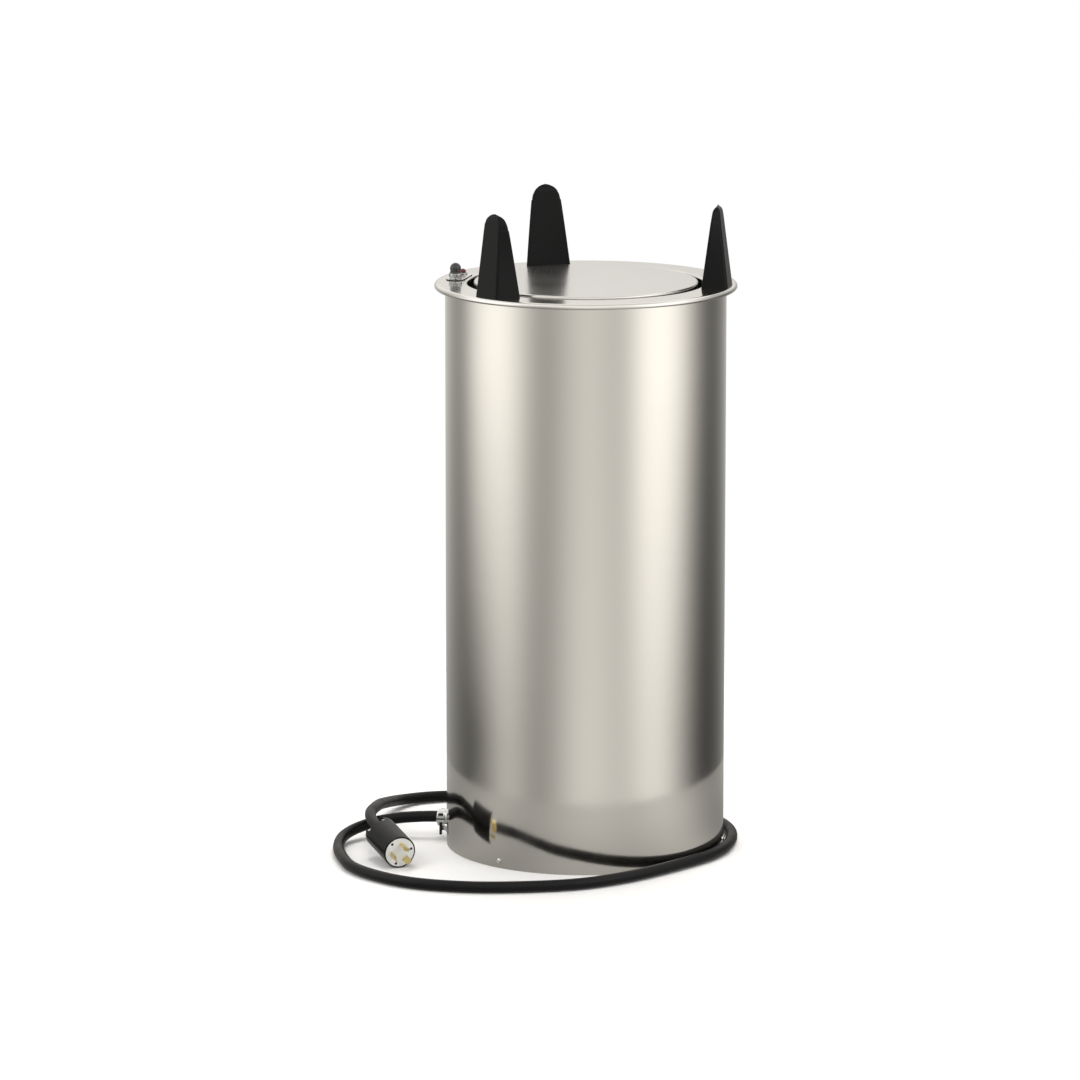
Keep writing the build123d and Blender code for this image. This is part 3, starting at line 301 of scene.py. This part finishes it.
materials = {
    # Cold-rolled stainless sheet with a semi-polished mill finish: soft clear reflections, slightly warm
    "body_steel": sheet_steel("stainless_mill_finish", "cdcac4", 0.10, 0.04, 1.1, 0.002, 60, 0.16),
    # Spun stainless flange, polished before forming: clearer than the body
    "flange_steel": sheet_steel("stainless_polished", "cfcdc9", 0.16, 0.03, 0.9, 0.004, 60, 0.02),
    # Spun platform, worn satin by the plates: reflections smear
    "platform_steel": sheet_steel("stainless_satin", "cbc9c6", 0.22, 0.03, 0.8, 0.005, 60, 0.02),
    # Inside sheets, bright annealed and left as they come
    "liner_steel": sheet_steel("stainless_bright_annealed", "bcbab6", 0.30, 0.04, 1.2, 0.012, 60, 0.12),
    "pan_steel": sheet_steel("stainless_pressed", "bbb9b5", 0.33, 0.04, 1.2, 0.012, 60, 0.12),
    # Zinc plated brackets, arms and collars: pale, slightly blue, softly spangled
    "zinc_steel": plated_metal("zinc_plate", "b4b7ba", 0.34, 1.6, 0.010),
    "screw_steel": plated_metal("stainless_screw", "cfcfcd", 0.16, 0.8, 0.004),
    "rod_steel": plated_metal("ground_steel_rod", "c4c3c0", 0.22, 0.5, 0.004),
    "spring_steel": coiled_wire("drawn_spring_wire", "8d8c8a", 0.38, 2.4),
    "bushing_nylon": moulded("natural_nylon", "d8d4c6", "e2dece", 0.45, 0.5, 0.01, 1.53),
    "insulation": moulded("glass_fibre_blanket", "cdc39a", "ded6b4", 0.95, 1.4, 0.9, 1.4),
    # Injection moulded posts: satin black with a fine spark-eroded texture
    "post_plastic": moulded("abs_black_satin", "040405", "0b0b0c", 0.28, 0.45, 0.010, 1.52, 0.0, 0.13),
    "plate_aluminium": plated_metal("aluminium_satin", "d2d3d4", 0.28, 0.7, 0.006),
    "switch_case": moulded("phenolic_black", "121212", "1d1c1b", 0.45, 0.5, 0.01, 1.55),
    "switch_chrome": plated_metal("nickel_chrome_plate", "a2a3a4", 0.24, 5.0, 0.0004),
    "boot_rubber": moulded("silicone_rubber_grey", "1f1f22", "2b2b2f", 0.22, 0.4, 0.008, 1.43, 0.0, 0.7),
    "lens_red": moulded("polycarbonate_red", "4e0012", "62001a", 0.10, 1.2, 0.004, 1.58, 0.2, 0.3),
    "element_sheath": plated_metal("alloy_sheath_oxidised", "6e6458", 0.50, 1.2, 0.010),
    "thermostat_case": moulded("phenolic_brown", "2a211c", "3a2e27", 0.50, 0.5, 0.01, 1.55),
    "block_ceramic": moulded("steatite_unglazed", "d6d0c2", "e4dfd2", 0.65, 0.6, 0.02, 1.55),
    "wire_cover": moulded("silicone_sleeving", "1b1b1d", "2a2a2c", 0.55, 0.5, 0.01, 1.43),
    # Die-cast clamp connector, zinc plated bright
    "relief_zinc": plated_metal("zinc_die_cast", "dadbdb", 0.24, 1.0, 0.012),
    "relief_screw_steel": plated_metal("steel_blackened", "3a3a3c", 0.42, 0.6, 0.006),
    "cord_rubber": moulded("neoprene_jacket", "060607", "101012", 0.38, 0.9, 0.03, 1.52, 0.0, 0.16),
    "plug_black": moulded("nylon_black", "070708", "0e0e10", 0.32, 0.5, 0.010, 1.53, 0.0, 0.18),
    "plug_white": moulded("nylon_white", "dfe2e1", "e9ebea", 0.30, 0.6, 0.006, 1.53),
    "clamp_grey": moulded("nylon_pale_grey", "bfc1c2", "d0d2d3", 0.36, 0.5, 0.010, 1.53),
    "blade_brass": plated_metal("brass_rolled", "e6d08e", 0.16, 0.9, 0.006),
}

slot_of = {entry["node"]: entry["material_slot"] for entry in frame["record"]["subparts"]}
for node_name, node_object in frame["nodes"].items():
    for material_slot in node_object.material_slots:
        material_slot.material = materials[slot_of[node_name]]


def polar(radius, azimuth, height=0.0):
    """Point at a radius, an azimuth in degrees and a height about the axis of the body."""
    return np.array((radius * cos(radians(azimuth)), radius * sin(radians(azimuth)), height))


def grid_faces(rows, columns, closed_rows, closed_columns):
    """Quads between the neighbours of a grid of points; a closed direction wraps round."""
    i = np.arange(rows if closed_rows else rows - 1)
    j = np.arange(columns if closed_columns else columns - 1)
    a, b = np.meshgrid(i, j, indexing="ij")
    c, d = (a + 1) % rows, (b + 1) % columns
    return np.stack((a * columns + b, c * columns + b, c * columns + d, a * columns + d), -1).reshape(-1, 4)


def make_piece(name, points, faces, body, slot, stands_for, sharp=35.0):
    """Puts points in millimetres and faces into a mesh, closes its seams and poles, turns its faces outwards,
    and lets it ride on a body in the place of the plain nodes that it stands for."""
    mesh = bpy.data.meshes.new(name)
    mesh.from_pydata((np.asarray(points).reshape(-1, 3) * MM).tolist(), [], np.asarray(faces).tolist())
    work = bmesh.new()
    work.from_mesh(mesh)
    bmesh.ops.remove_doubles(work, verts=work.verts, dist=1e-7)
    bmesh.ops.dissolve_degenerate(work, edges=work.edges, dist=1e-7)
    bmesh.ops.recalc_face_normals(work, faces=work.faces)
    work.to_mesh(mesh)
    work.free()
    mesh.shade_smooth()
    mesh.set_sharp_from_angle(angle=radians(sharp))
    mesh.materials.append(materials[slot])
    piece = placed(name, mesh)
    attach(piece, body)
    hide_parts(*stands_for)
    return piece


def rounded(corners, radii, steps=8):
    """Closed outline with its corners rounded.

    At a corner where the sides turn by an angle t, an arc of radius r starts r * tan(t / 2) before the corner
    and ends as far after it; its points are the corner's two tangent points and the arc between them.
    """
    corners = np.array(corners, float)
    outline = []
    for k, (corner, radius) in enumerate(zip(corners, radii)):
        before = corners[k - 1] - corner
        after = corners[(k + 1) % len(corners)] - corner
        before /= np.linalg.norm(before)
        after /= np.linalg.norm(after)
        if radius == 0:
            outline.append(corner[None])
            continue
        half = np.arccos(np.clip(before @ after, -1, 1)) / 2
        middle = corner + (before + after) / np.linalg.norm(before + after) * radius / np.sin(half)
        start = corner + before * radius / np.tan(half) - middle
        end = corner + after * radius / np.tan(half) - middle
        sweep = np.arctan2(start[0] * end[1] - start[1] * end[0], start @ end)
        turn = np.linspace(0, 1, steps + 1) * sweep
        outline.append(middle + np.stack((
            start[0] * np.cos(turn) - start[1] * np.sin(turn),
            start[0] * np.sin(turn) + start[1] * np.cos(turn),
        ), -1))
    return np.concatenate(outline)


def braced(outline, shortest=4.0, reach=0.5):
    """Outline with two more points on every side over a shortest length, each one reach from an end of it.

    They keep the shading of a rounded edge from spreading over the long flat side beside it.
    """
    following = np.roll(outline, -1, axis=0)
    run = following - outline
    length = np.linalg.norm(run, axis=1)
    step = run * (reach / np.maximum(length, reach))[:, None]
    stacked = np.stack((outline, outline + step, following - step), axis=1)
    kept = np.column_stack((np.ones(len(outline), bool), length > shortest, length > shortest))
    return stacked[kept]


def turned(outline, steps):
    """Surface of revolution: a point (r, z) of the outline goes to (r cos a, r sin a, z), at every angle a."""
    outline = braced(outline)
    angle = np.linspace(0, 2 * pi, steps, endpoint=False)
    radius, height = outline[:, 0, None], outline[:, 1, None]
    points = np.stack((radius * np.cos(angle), radius * np.sin(angle), height + 0 * angle), -1)
    return points, grid_faces(len(outline), steps, True, True)


# Body tube, with both edges of the sheet just broken
shroud_inner = body_radius - shroud_wall
tube_outline = rounded(
    ((body_radius, 0), (body_radius, body_height), (shroud_inner, body_height), (shroud_inner, 0)),
    (shroud_edge, 0, 0, shroud_edge), 3,
)
make_piece("body_tube", *turned(tube_outline, ring_steps), "cabinet", "body_steel", ("body_shroud",))

# Flange: collar down into the well, flat top, and the lip spun down round the edge and tucked in at its end
lip_inside = flange_radius - flange_sheet
flange_outline = rounded(
    (
        (well_radius, collar_bottom), (well_radius, flange_top), (flange_radius, flange_top),
        (flange_radius, lip_bottom + lip_tuck), (flange_radius - lip_tuck, lip_bottom),
        (flange_radius - lip_tuck - tuck_slant * flange_sheet, lip_bottom + tuck_slant * flange_sheet),
        (lip_inside, lip_bottom + lip_tuck + tuck_mitre * flange_sheet), (lip_inside, body_height),
        (well_radius + flange_sheet, body_height), (well_radius + flange_sheet, collar_bottom),
    ),
    (
        edge_break, collar_corner, lip_corner, tuck_bends[0], edge_break, edge_break, tuck_bends[1],
        lip_corner - flange_sheet, collar_corner - flange_sheet, edge_break,
    ),
    10,
)
make_piece("spun_flange", *turned(flange_outline, ring_steps), "cabinet", "flange_steel", ("top_flange",))

# Platform: a flat disc with its rim turned down
disc_outline = rounded(
    (
        (0, platform_top), (platform_radius, platform_top), (platform_radius, platform_top - platform_rim),
        (platform_radius - platform_sheet, platform_top - platform_rim),
        (platform_radius - platform_sheet, platform_top - platform_sheet), (0, platform_top - platform_sheet),
    ),
    (0, platform_corner, edge_break, edge_break, platform_corner - platform_sheet, 0),
    10,
)
make_piece("plate_platform", *turned(disc_outline, ring_steps), "carrier", "platform_steel", ("platform",))


def post_sections(azimuth, levels=72):
    """Guide post as a stack of level sections, each a four-sided figure with rounded corners.

    At a height h the inner and outer widths and the depth run in proportion from the base to the top. Above
    the centre of a full-round end, h0, no half width passes sqrt(r^2 - (h - h0)^2), the outer side having a
    smaller end of its own. Within e of the top, the inner and outer sides lean in by
    e - sqrt(e^2 - (h - (H - e))^2) and the flanks by a third of that, until the sides nearly meet. Heights
    crowd towards the top as the sine of a quarter turn.
    """
    height = post_height * np.sin(np.linspace(0, pi / 2, levels)) * (1 - 1e-4)
    part = height / post_height
    over = np.clip(height - (post_height - post_tip), 0, None)
    lean = post_tip - np.sqrt(post_tip**2 - over**2)
    depth = post_depth + (post_top_depth - post_depth) * part
    inset = np.minimum(lean, post_lean_limit * depth)
    inner = post_inner + post_top_lean * part + inset
    outer = post_inner + post_top_lean * part + depth - inset

    def half_width(base, top, end):
        rise = np.clip(height - (post_height - end), 0, None)
        tapered = (base + (top - base) * part) / 2
        return np.minimum(tapered, np.where(rise > 0, np.sqrt(end**2 - rise**2), base))

    half_in = half_width(post_widths[0], post_top_widths[0], post_round)
    half_out = np.minimum(half_width(post_widths[1], post_top_widths[1], post_outer_round), half_in)
    sections = []
    for near, far, wide, narrow, draw in zip(inner, outer, half_in, half_out, lean / 3):
        wide, narrow = max(wide - draw, 0.05), max(narrow - draw, 0.05)
        edge = min(post_edge, post_edge_limits[0] * (far - near), post_edge_limits[1] * narrow)
        sections.append(rounded(
            ((near, wide), (far, narrow), (far, -narrow), (near, -wide)),
            (edge * post_inner_edge, edge, edge, edge * post_inner_edge), 5,
        ))
    corners = np.array(sections).reshape(len(sections), 4, -1, 2)
    starts, ends = corners[:, :, 0], corners[:, :, -1]
    beside = starts + post_brace * (np.roll(ends, 1, axis=1) - starts)
    beyond = ends + post_brace * (np.roll(starts, -1, axis=1) - ends)
    flat = np.concatenate((beside[:, :, None], corners, beyond[:, :, None]), axis=2)
    flat = flat.reshape(len(sections), -1, 2)
    points = flat[..., :1] * polar(1, azimuth) + flat[..., 1:] * polar(1, azimuth + 90)
    points[..., 2] = flange_top + height[:, None]
    middles = np.broadcast_to(points[[0, -1]].mean(axis=1, keepdims=True), (2,) + points.shape[1:])
    points = np.concatenate((middles[:1], points, middles[1:]))
    return points, grid_faces(len(points), flat.shape[1], False, True)


for number, azimuth in enumerate(post_azimuths, 1):
    make_piece(f"post_{number}", *post_sections(azimuth), "cabinet", "post_plastic",
               (f"guide_post_{number}",), 40.0)


def frame_on(origin, axis):
    """Two directions across an axis, level and upright, and the axis itself, all of unit length."""
    axis = np.array(axis, float) / np.linalg.norm(axis)
    level = np.array((-axis[1], axis[0], 0.0))
    level = np.array((1.0, 0.0, 0.0)) if np.linalg.norm(level) < 1e-6 else level / np.linalg.norm(level)
    return np.array(origin, float), level, np.cross(axis, level), axis


def turned_about(outline, steps, origin, axis):
    """Surface of revolution: a point (r, h) of the outline goes h along the axis and r away from it, at every
    angle a: origin + h * axis + r * (cos a * level + sin a * upright)."""
    origin, level, upright, axis = frame_on(origin, axis)
    angle = np.linspace(0, 2 * pi, steps, endpoint=False)[:, None]
    radius, height = outline[:, 0, None, None], outline[:, 1, None, None]
    points = origin + height * axis + radius * (np.cos(angle) * level + np.sin(angle) * upright)
    return points, grid_faces(len(outline), steps, True, True)


upwards = (0, 0, 1)
switch_place = polar(control_radius, control_azimuth) + polar(control_spacing / 2, control_azimuth + 90)
lamp_place = polar(control_radius, control_azimuth) - polar(control_spacing / 2, control_azimuth + 90)

# Rubber boot over the toggle: a short skirt, a fold above the ring, and a dome
dome = np.linspace(0, pi / 2, 12)
boot_outline = np.concatenate((
    rounded(
        (
            (boot_bore, boot_base), (boot_radius, boot_base), (boot_radius, boot_fold[0]),
            (boot_radius - boot_fold_depth, boot_fold[1]), (boot_radius, boot_fold[2]),
        ),
        (0, 0.4, 0.3, 0.4, 0.3), 3,
    )[1:],
    np.stack((boot_radius * np.cos(dome), boot_shoulder + (boot_top - boot_shoulder) * np.sin(dome)), -1),
    np.array(((0, boot_top - boot_crown), (boot_bore, boot_bore_top))),
))
make_piece("toggle_boot", *turned_about(boot_outline, 64, switch_place, upwards), "toggle", "boot_rubber",
           ("switch_boot",), 60.0)

# Round nut that clamps the boot, and the hexagon nut below it
ring_outline = rounded(
    ((ring_bore, ring_bottom), (ring_radius, ring_bottom), (ring_radius, ring_top), (ring_bore, ring_top)),
    (0.2, 0.5, 0.8, 0.25), 5,
)
make_piece("boot_clamp_ring", *turned_about(ring_outline, 64, switch_place, upwards), "cabinet",
           "switch_chrome", ("boot_ring",))


def hexagon_nut(place, flats, bore, bottom, top, steps=144):
    """Hexagon nut. At an angle a from a flat's middle the side is at flats / 2 / cos(a), and near both faces
    no point is further out than a cone that opens with the distance from the face."""
    angle = np.linspace(0, 2 * pi, steps, endpoint=False)
    turn = (angle + pi / 6) % (pi / 3) - pi / 6
    side = flats / 2 / np.cos(turn)
    height = np.array((bottom, bottom, bottom + 0.3, bottom + 0.6, top - 0.6, top - 0.3, top, top))
    cone = nut_bevel_start * flats + nut_bevel_rise * np.minimum(height - bottom, top - height)
    radius = np.minimum(side, cone[:, None])
    radius[0] = radius[-1] = bore
    points = np.stack((radius * np.cos(angle), radius * np.sin(angle), height[:, None] + 0 * angle), -1)
    return points + place, grid_faces(len(height), steps, True, True)


make_piece("switch_hexagon_nut", *hexagon_nut(switch_place, nut_flats, nut_bore, nut_bottom, nut_top),
           "cabinet", "switch_chrome", ("switch_nut",), 25.0)

# Pilot light: a red dome in a polished bezel
lens_outline = np.concatenate((
    np.array(((0, lens_bottom), (lens_radius, lens_bottom))),
    np.stack((
        lens_radius * np.cos(dome), lens_bottom + lens_skirt + (lens_height - lens_skirt) * np.sin(dome),
    ), -1),
))
make_piece("pilot_dome", *turned_about(lens_outline, 48, lamp_place, upwards), "cabinet", "lens_red",
           ("pilot_lens",), 50.0)
bezel_outline = rounded(
    (
        (bezel_bore, bezel_bottom), (bezel_radius, bezel_bottom), (bezel_radius, bezel_top),
        (bezel_bore, bezel_top),
    ),
    (0.1, 0.1, 0.9, 0.4), 6,
)
make_piece("pilot_ring", *turned_about(bezel_outline, 48, lamp_place, upwards), "cabinet", "switch_chrome",
           ("pilot_bezel",))


def pan_head_screws(azimuths, steps=48, rings=26):
    """Screws through the foot of the body, in one mesh.

    A head's face at a radius r stands proud by its height times q + (1 - q) * sqrt(1 - (r / R)^2), where q is
    the rim's share, less the recess: a cross whose arms fade at their half width and at their reach.
    """
    radius = base_head_radius * np.sin(np.linspace(0, pi / 2, rings))[:, None]
    angle = np.linspace(0, 2 * pi, steps, endpoint=False)
    bulge = np.sqrt(np.clip(1 - (radius / base_head_radius) ** 2, 0, 1))
    proud = base_head_height * (base_head_rim + (1 - base_head_rim) * bulge)
    off_line = np.minimum(np.abs(radius * np.cos(angle)), np.abs(radius * np.sin(angle)))
    recess = (recess_depth / (1 + np.exp((off_line - recess_half_width) * recess_edges[0]))
              / (1 + np.exp((radius - recess_reach) * recess_edges[1])))
    tail = np.array((
        (base_head_radius, base_head_gap), (base_screw_radius, base_head_gap),
        (base_screw_radius, base_screw_tip[0]), (0, base_screw_tip[1]),
    ))
    across = np.concatenate((np.broadcast_to(radius, (rings, steps)), np.repeat(tail[:, :1], steps, 1)))
    height = np.concatenate((proud - recess, np.repeat(tail[:, 1:], steps, 1)))
    faces = grid_faces(len(across), steps, False, True)
    points = []
    for azimuth in azimuths:
        seat = polar(body_radius, azimuth, base_screw_height)
        origin, level, upright, axis = frame_on(seat, polar(1, azimuth))
        tilt = angle + radians(azimuth)
        points.append(origin + height[..., None] * axis
                      + (across * np.cos(tilt))[..., None] * level
                      + (across * np.sin(tilt))[..., None] * upright)
    return np.array(points), np.concatenate([faces + k * across.size for k in range(len(azimuths))])


make_piece("foot_screws", *pan_head_screws(base_screw_azimuths), "cabinet", "screw_steel",
           ("base_screws",), 50.0)


def softened(node, name, body, width, segments=3, angle=32):
    """Copy of a CAD piece, merged, whose sharp edges are rounded over by the given width in millimetres."""
    mesh = frame["nodes"][node].data.copy()
    mesh.name = name
    work = bmesh.new()
    work.from_mesh(mesh)
    bmesh.ops.remove_doubles(work, verts=work.verts, dist=1e-6)
    bmesh.ops.dissolve_limit(work, angle_limit=radians(1.5), verts=work.verts, edges=work.edges)
    bmesh.ops.recalc_face_normals(work, faces=work.faces)
    work.to_mesh(mesh)
    work.free()
    mesh.shade_smooth()
    mesh.set_sharp_from_angle(angle=radians(angle))
    piece = placed(name, mesh)
    edges = piece.modifiers.new("edges", "BEVEL")
    edges.width = width * MM
    edges.segments = segments
    edges.limit_method = "ANGLE"
    edges.angle_limit = radians(angle)
    edges.harden_normals = True
    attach(piece, body)
    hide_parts(node)
    return piece


for node, name, width in (
    ("switch_plate", "control_plate", 0.25), ("relief_body", "clamp_connector", 0.45),
    ("relief_saddle", "clamp_saddle", 0.35), ("relief_screws", "clamp_screws", 0.2),
    ("plug_shell", "plug_casing", 0.5), ("plug_face", "plug_front", 0.4), ("plug_blades", "plug_contacts", 0.2),
    ("plug_clamp", "plug_jaws", 0.35), ("plug_clamp_screws", "plug_jaw_screws", 0.15),
):
    softened(node, name, "cabinet", width)

# Faces of the control plate that don't face up, its edge and underside, take the dark blackened-steel material as
# painted shade for the dark line along its edge, and its face is left as it is
plate_mesh = bpy.data.objects["control_plate"].data
plate_mesh.materials.append(materials["relief_screw_steel"])
upward = np.zeros(3 * len(plate_mesh.polygons))
plate_mesh.polygons.foreach_get("normal", upward)
plate_mesh.polygons.foreach_set("material_index", (upward[2::3] < 0.7).astype(np.int32))

# Plug's face screws are blackened
for material_slot in frame["nodes"]["plug_face_screws"].material_slots:
    material_slot.material = materials["relief_screw_steel"]

# Power cord: one smooth line through the loops, bevelled to the jacket's radius
cord_curve = bpy.data.curves.new("power_cable", "CURVE")
cord_curve.dimensions = "3D"
spline = cord_curve.splines.new("NURBS")
spline.points.add(len(cord_points) - 1)
cord_places = np.column_stack((np.array(cord_points) * MM, np.ones(len(cord_points))))
spline.points.foreach_set("co", cord_places.ravel())
spline.order_u = 3
spline.use_endpoint_u = True
spline.resolution_u = 14
cord_curve.bevel_depth = cord_radius * MM
cord_curve.bevel_resolution = 8
cord_curve.use_fill_caps = True
cord_curve.materials.append(materials["cord_rubber"])
cable = placed("power_cable", cord_curve)
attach(cable, "cabinet")
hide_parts("power_cord")

# Studio. Soft panels stand all round and show only in reflections: each is a glow about an azimuth, measured
# from the camera's side, with a width in degrees, a level at the panels' top and at their foot, and the turn
# by which its foot is off.
panels = (
    ("rear screen", 190, 38, 0.70, 0.42, 0),
    ("left panel's outer half", -95, 15, 0.76, 0.0, 0),
    ("left panel", -68, 18.5, 1.33, 0.66, 2),
    ("front screen", 1, 25, 0.93, 0.96, 0),
    ("right panel's inner half", 46, 11, 0.32, 0.06, 0),
    ("right panel", 67, 21.5, 1.58, 1.04, -7),
)
surround_radius = 2.5
surround_top = 2.4
surround_foot = -1.7
panel_top = 0.21
panel_foot = -0.39
upper_glow = 0.45  # what the surround gains above the panels
upper_start = 0.9
upper_rise = 0.3
sheet_radius = 0.51
sheet_height = -0.0005
sheet_even = 0.34  # how bright white paper near the body is from the room
sheet_share = 0.40  # and how much of the panels' light it sends on
painted_shadow_level = 0.75  # painted shadow of the body on the sheet: how bright it stays beside the body, against further out
painted_shadow_radius = 0.17
painted_shadow_reach = 0.25
ceiling_middle = 0.95
ceiling_gain = 0.5  # how much brighter the ceiling is beyond its middle
ceiling_start = 0.9
ceiling_reach = 0.5
ground_glow = 0.28
floor_radius = 3.0
floor_height = -0.0002
floor_fade = (0.45, 1.4)  # distances between which the floor fades out
turn_round = np.arange(-180, 180, 2.0)


def panel_glow(azimuth, share):
    """Sum over the panels of level * exp(-(turn / width)^2 / 2), where share takes the level from foot to top."""
    total = np.zeros(np.broadcast(azimuth, share).shape)
    for _, centre, width, top_level, foot_level, lean in panels:
        turn = (azimuth - centre - lean * (1 - share) + 180) % 360 - 180
        total = total + (foot_level + (top_level - foot_level) * share) * np.exp(-0.5 * (turn / width) ** 2)
    return total


def ramp(value, start, reach):
    """0 up to a start and 1 beyond a reach from it, with an even rise between."""
    return np.clip((value - start) / reach, 0, 1)


def round_axis(ring, around, height):
    """Points of the stage at a distance r and a turn a from the camera's side: (r sin a, -r cos a, height)."""
    turn = np.radians(around)
    return np.stack((ring * np.sin(turn), -ring * np.cos(turn), height + 0 * ring), -1)


def stage_disc(radii, height):
    """Points and faces of a level disc of the stage, and the turn and distance of its points."""
    around, ring = np.meshgrid(turn_round, radii)
    faces = grid_faces(len(radii), len(turn_round), False, True)
    return round_axis(ring, around, height), faces, around, ring


def stage_mesh(name, points, faces):
    """Mesh of a surface of the stage."""
    mesh = bpy.data.meshes.new(name)
    mesh.from_pydata(points.reshape(-1, 3).tolist(), [], faces.tolist())
    return mesh


def glowing(name, points, faces, glow):
    """Stage surface that only glossy rays see, as bright at each point as its glow."""
    mesh = stage_mesh(name, points, faces)
    mesh.attributes.new("glow", "FLOAT", "POINT").data.foreach_set("value", glow.astype(np.float32).ravel())
    material, output = new_material(name + "_light")
    level = add(material.node_tree, "ShaderNodeAttribute", {"attribute_name": "glow"})
    shader = add(material.node_tree, "ShaderNodeEmission", {"Color": colour("fffdf8")},
                 {"Strength": level.outputs["Fac"]})
    mesh.materials.append(finish_material(material, output, shader))
    screen = placed(name, mesh)
    screen.visible_camera = False
    screen.visible_diffuse = False
    screen.visible_shadow = False
    screen.visible_transmission = False


heights = np.linspace(surround_foot, surround_top, 74)
around, level_height = np.meshgrid(turn_round, heights)
share = ramp(level_height, panel_foot, panel_top - panel_foot)
glowing("soft_panels", round_axis(surround_radius, around, level_height),
        grid_faces(len(heights), len(turn_round), False, True),
        panel_glow(around, share) + upper_glow * ramp(level_height, upper_start, upper_rise))

# The glow sheet is darker beside the body's foot: a painted shadow of the body on the floor, as reflections show
# it
sheet_points, sheet_faces, around, ring = stage_disc(np.linspace(0.02, sheet_radius, 24), sheet_height)
glowing("floor_glow", sheet_points, sheet_faces,
        (sheet_even + sheet_share * panel_glow(around, 0 * ring))
        * (painted_shadow_level + (1 - painted_shadow_level) * ramp(ring, painted_shadow_radius, painted_shadow_reach)))

# What turned edges see above and below: a bright ceiling and a dark ground under the near floor
for name, level in (("ceiling", surround_top), ("low_ground", surround_foot)):
    disc_points, disc_faces, around, ring = stage_disc(np.linspace(0.05, surround_radius, 20), level)
    ceiling_glow = ceiling_middle + ceiling_gain * ramp(ring, ceiling_start, ceiling_reach)
    glowing(name, disc_points, disc_faces, ceiling_glow if name == "ceiling" else ground_glow + 0 * ring)

# Pale floor that fades out into the white background
floor_mesh = stage_mesh("floor", *stage_disc(np.linspace(0, floor_radius, 40), floor_height)[:2])
floor_material, floor_output, tree, floor_place = textured_material("white_paper")
distance = add(tree, "ShaderNodeVectorMath", {"operation": "LENGTH"}, {0: floor_place})
fade = add(tree, "ShaderNodeMapRange",
           {"interpolation_type": "SMOOTHSTEP", "From Min": floor_fade[0], "From Max": floor_fade[1]},
           {"Value": distance.outputs["Value"]})
paper = add(tree, "ShaderNodeBsdfDiffuse", {"Color": colour("fbfbfb")})
clear = add(tree, "ShaderNodeBsdfTransparent")
blend = add(tree, "ShaderNodeMixShader", {},
            {"Fac": fade.outputs[0], 1: paper.outputs[0], 2: clear.outputs[0]})
floor_mesh.materials.append(finish_material(floor_material, floor_output, blend))
floor = placed("floor", floor_mesh)
floor.visible_glossy = False


def soft_lamp(name, place, target, size, power):
    """Square soft box at a place, turned towards a target."""
    data = bpy.data.lights.new(name, "AREA")
    data.shape = "SQUARE"
    data.size = size
    data.energy = power
    data.color = colour("fffaf4")[:3]
    lamp = placed(name, data)
    lamp.location = place
    lamp.rotation_euler = (Vector(target) - Vector(place)).to_track_quat("-Z", "Y").to_euler()
    lamp.visible_glossy = False


soft_lamp("key_lamp", (-3.0, -2.6, 3.2), (0, 0, 0.45), 2.4, 70)
soft_lamp("fill_lamp", (3.2, -2.4, 2.6), (0, 0, 0.4), 2.4, 45)
soft_lamp("top_lamp", (0.3, 1.2, 3.8), (0, 0, 0.5), 2.8, 110)

# World: even studio light on the object, and plain white for what the camera and the reflections see
world = bpy.data.worlds.new("studio")
world.use_nodes = True
bpy.context.scene.world = world
tree = world.node_tree
tree.nodes.clear()
rays = add(tree, "ShaderNodeLightPath")
seen = add(tree, "ShaderNodeMath", {"operation": "MAXIMUM"},
           {0: rays.outputs["Is Camera Ray"], 1: rays.outputs["Is Glossy Ray"]})
seen_or_through = add(tree, "ShaderNodeMath", {"operation": "MAXIMUM"},
                      {0: seen.outputs[0], 1: rays.outputs["Is Transmission Ray"]})
even = add(tree, "ShaderNodeBackground", {"Color": colour("f4f5f7"), "Strength": 0.68})
white = add(tree, "ShaderNodeBackground", {"Color": (1, 1, 1, 1), "Strength": 1.0})
both = add(tree, "ShaderNodeMixShader", {},
           {"Fac": seen_or_through.outputs[0], 1: even.outputs[0], 2: white.outputs[0]})
add(tree, "ShaderNodeOutputWorld", {}, {"Surface": both.outputs[0]})
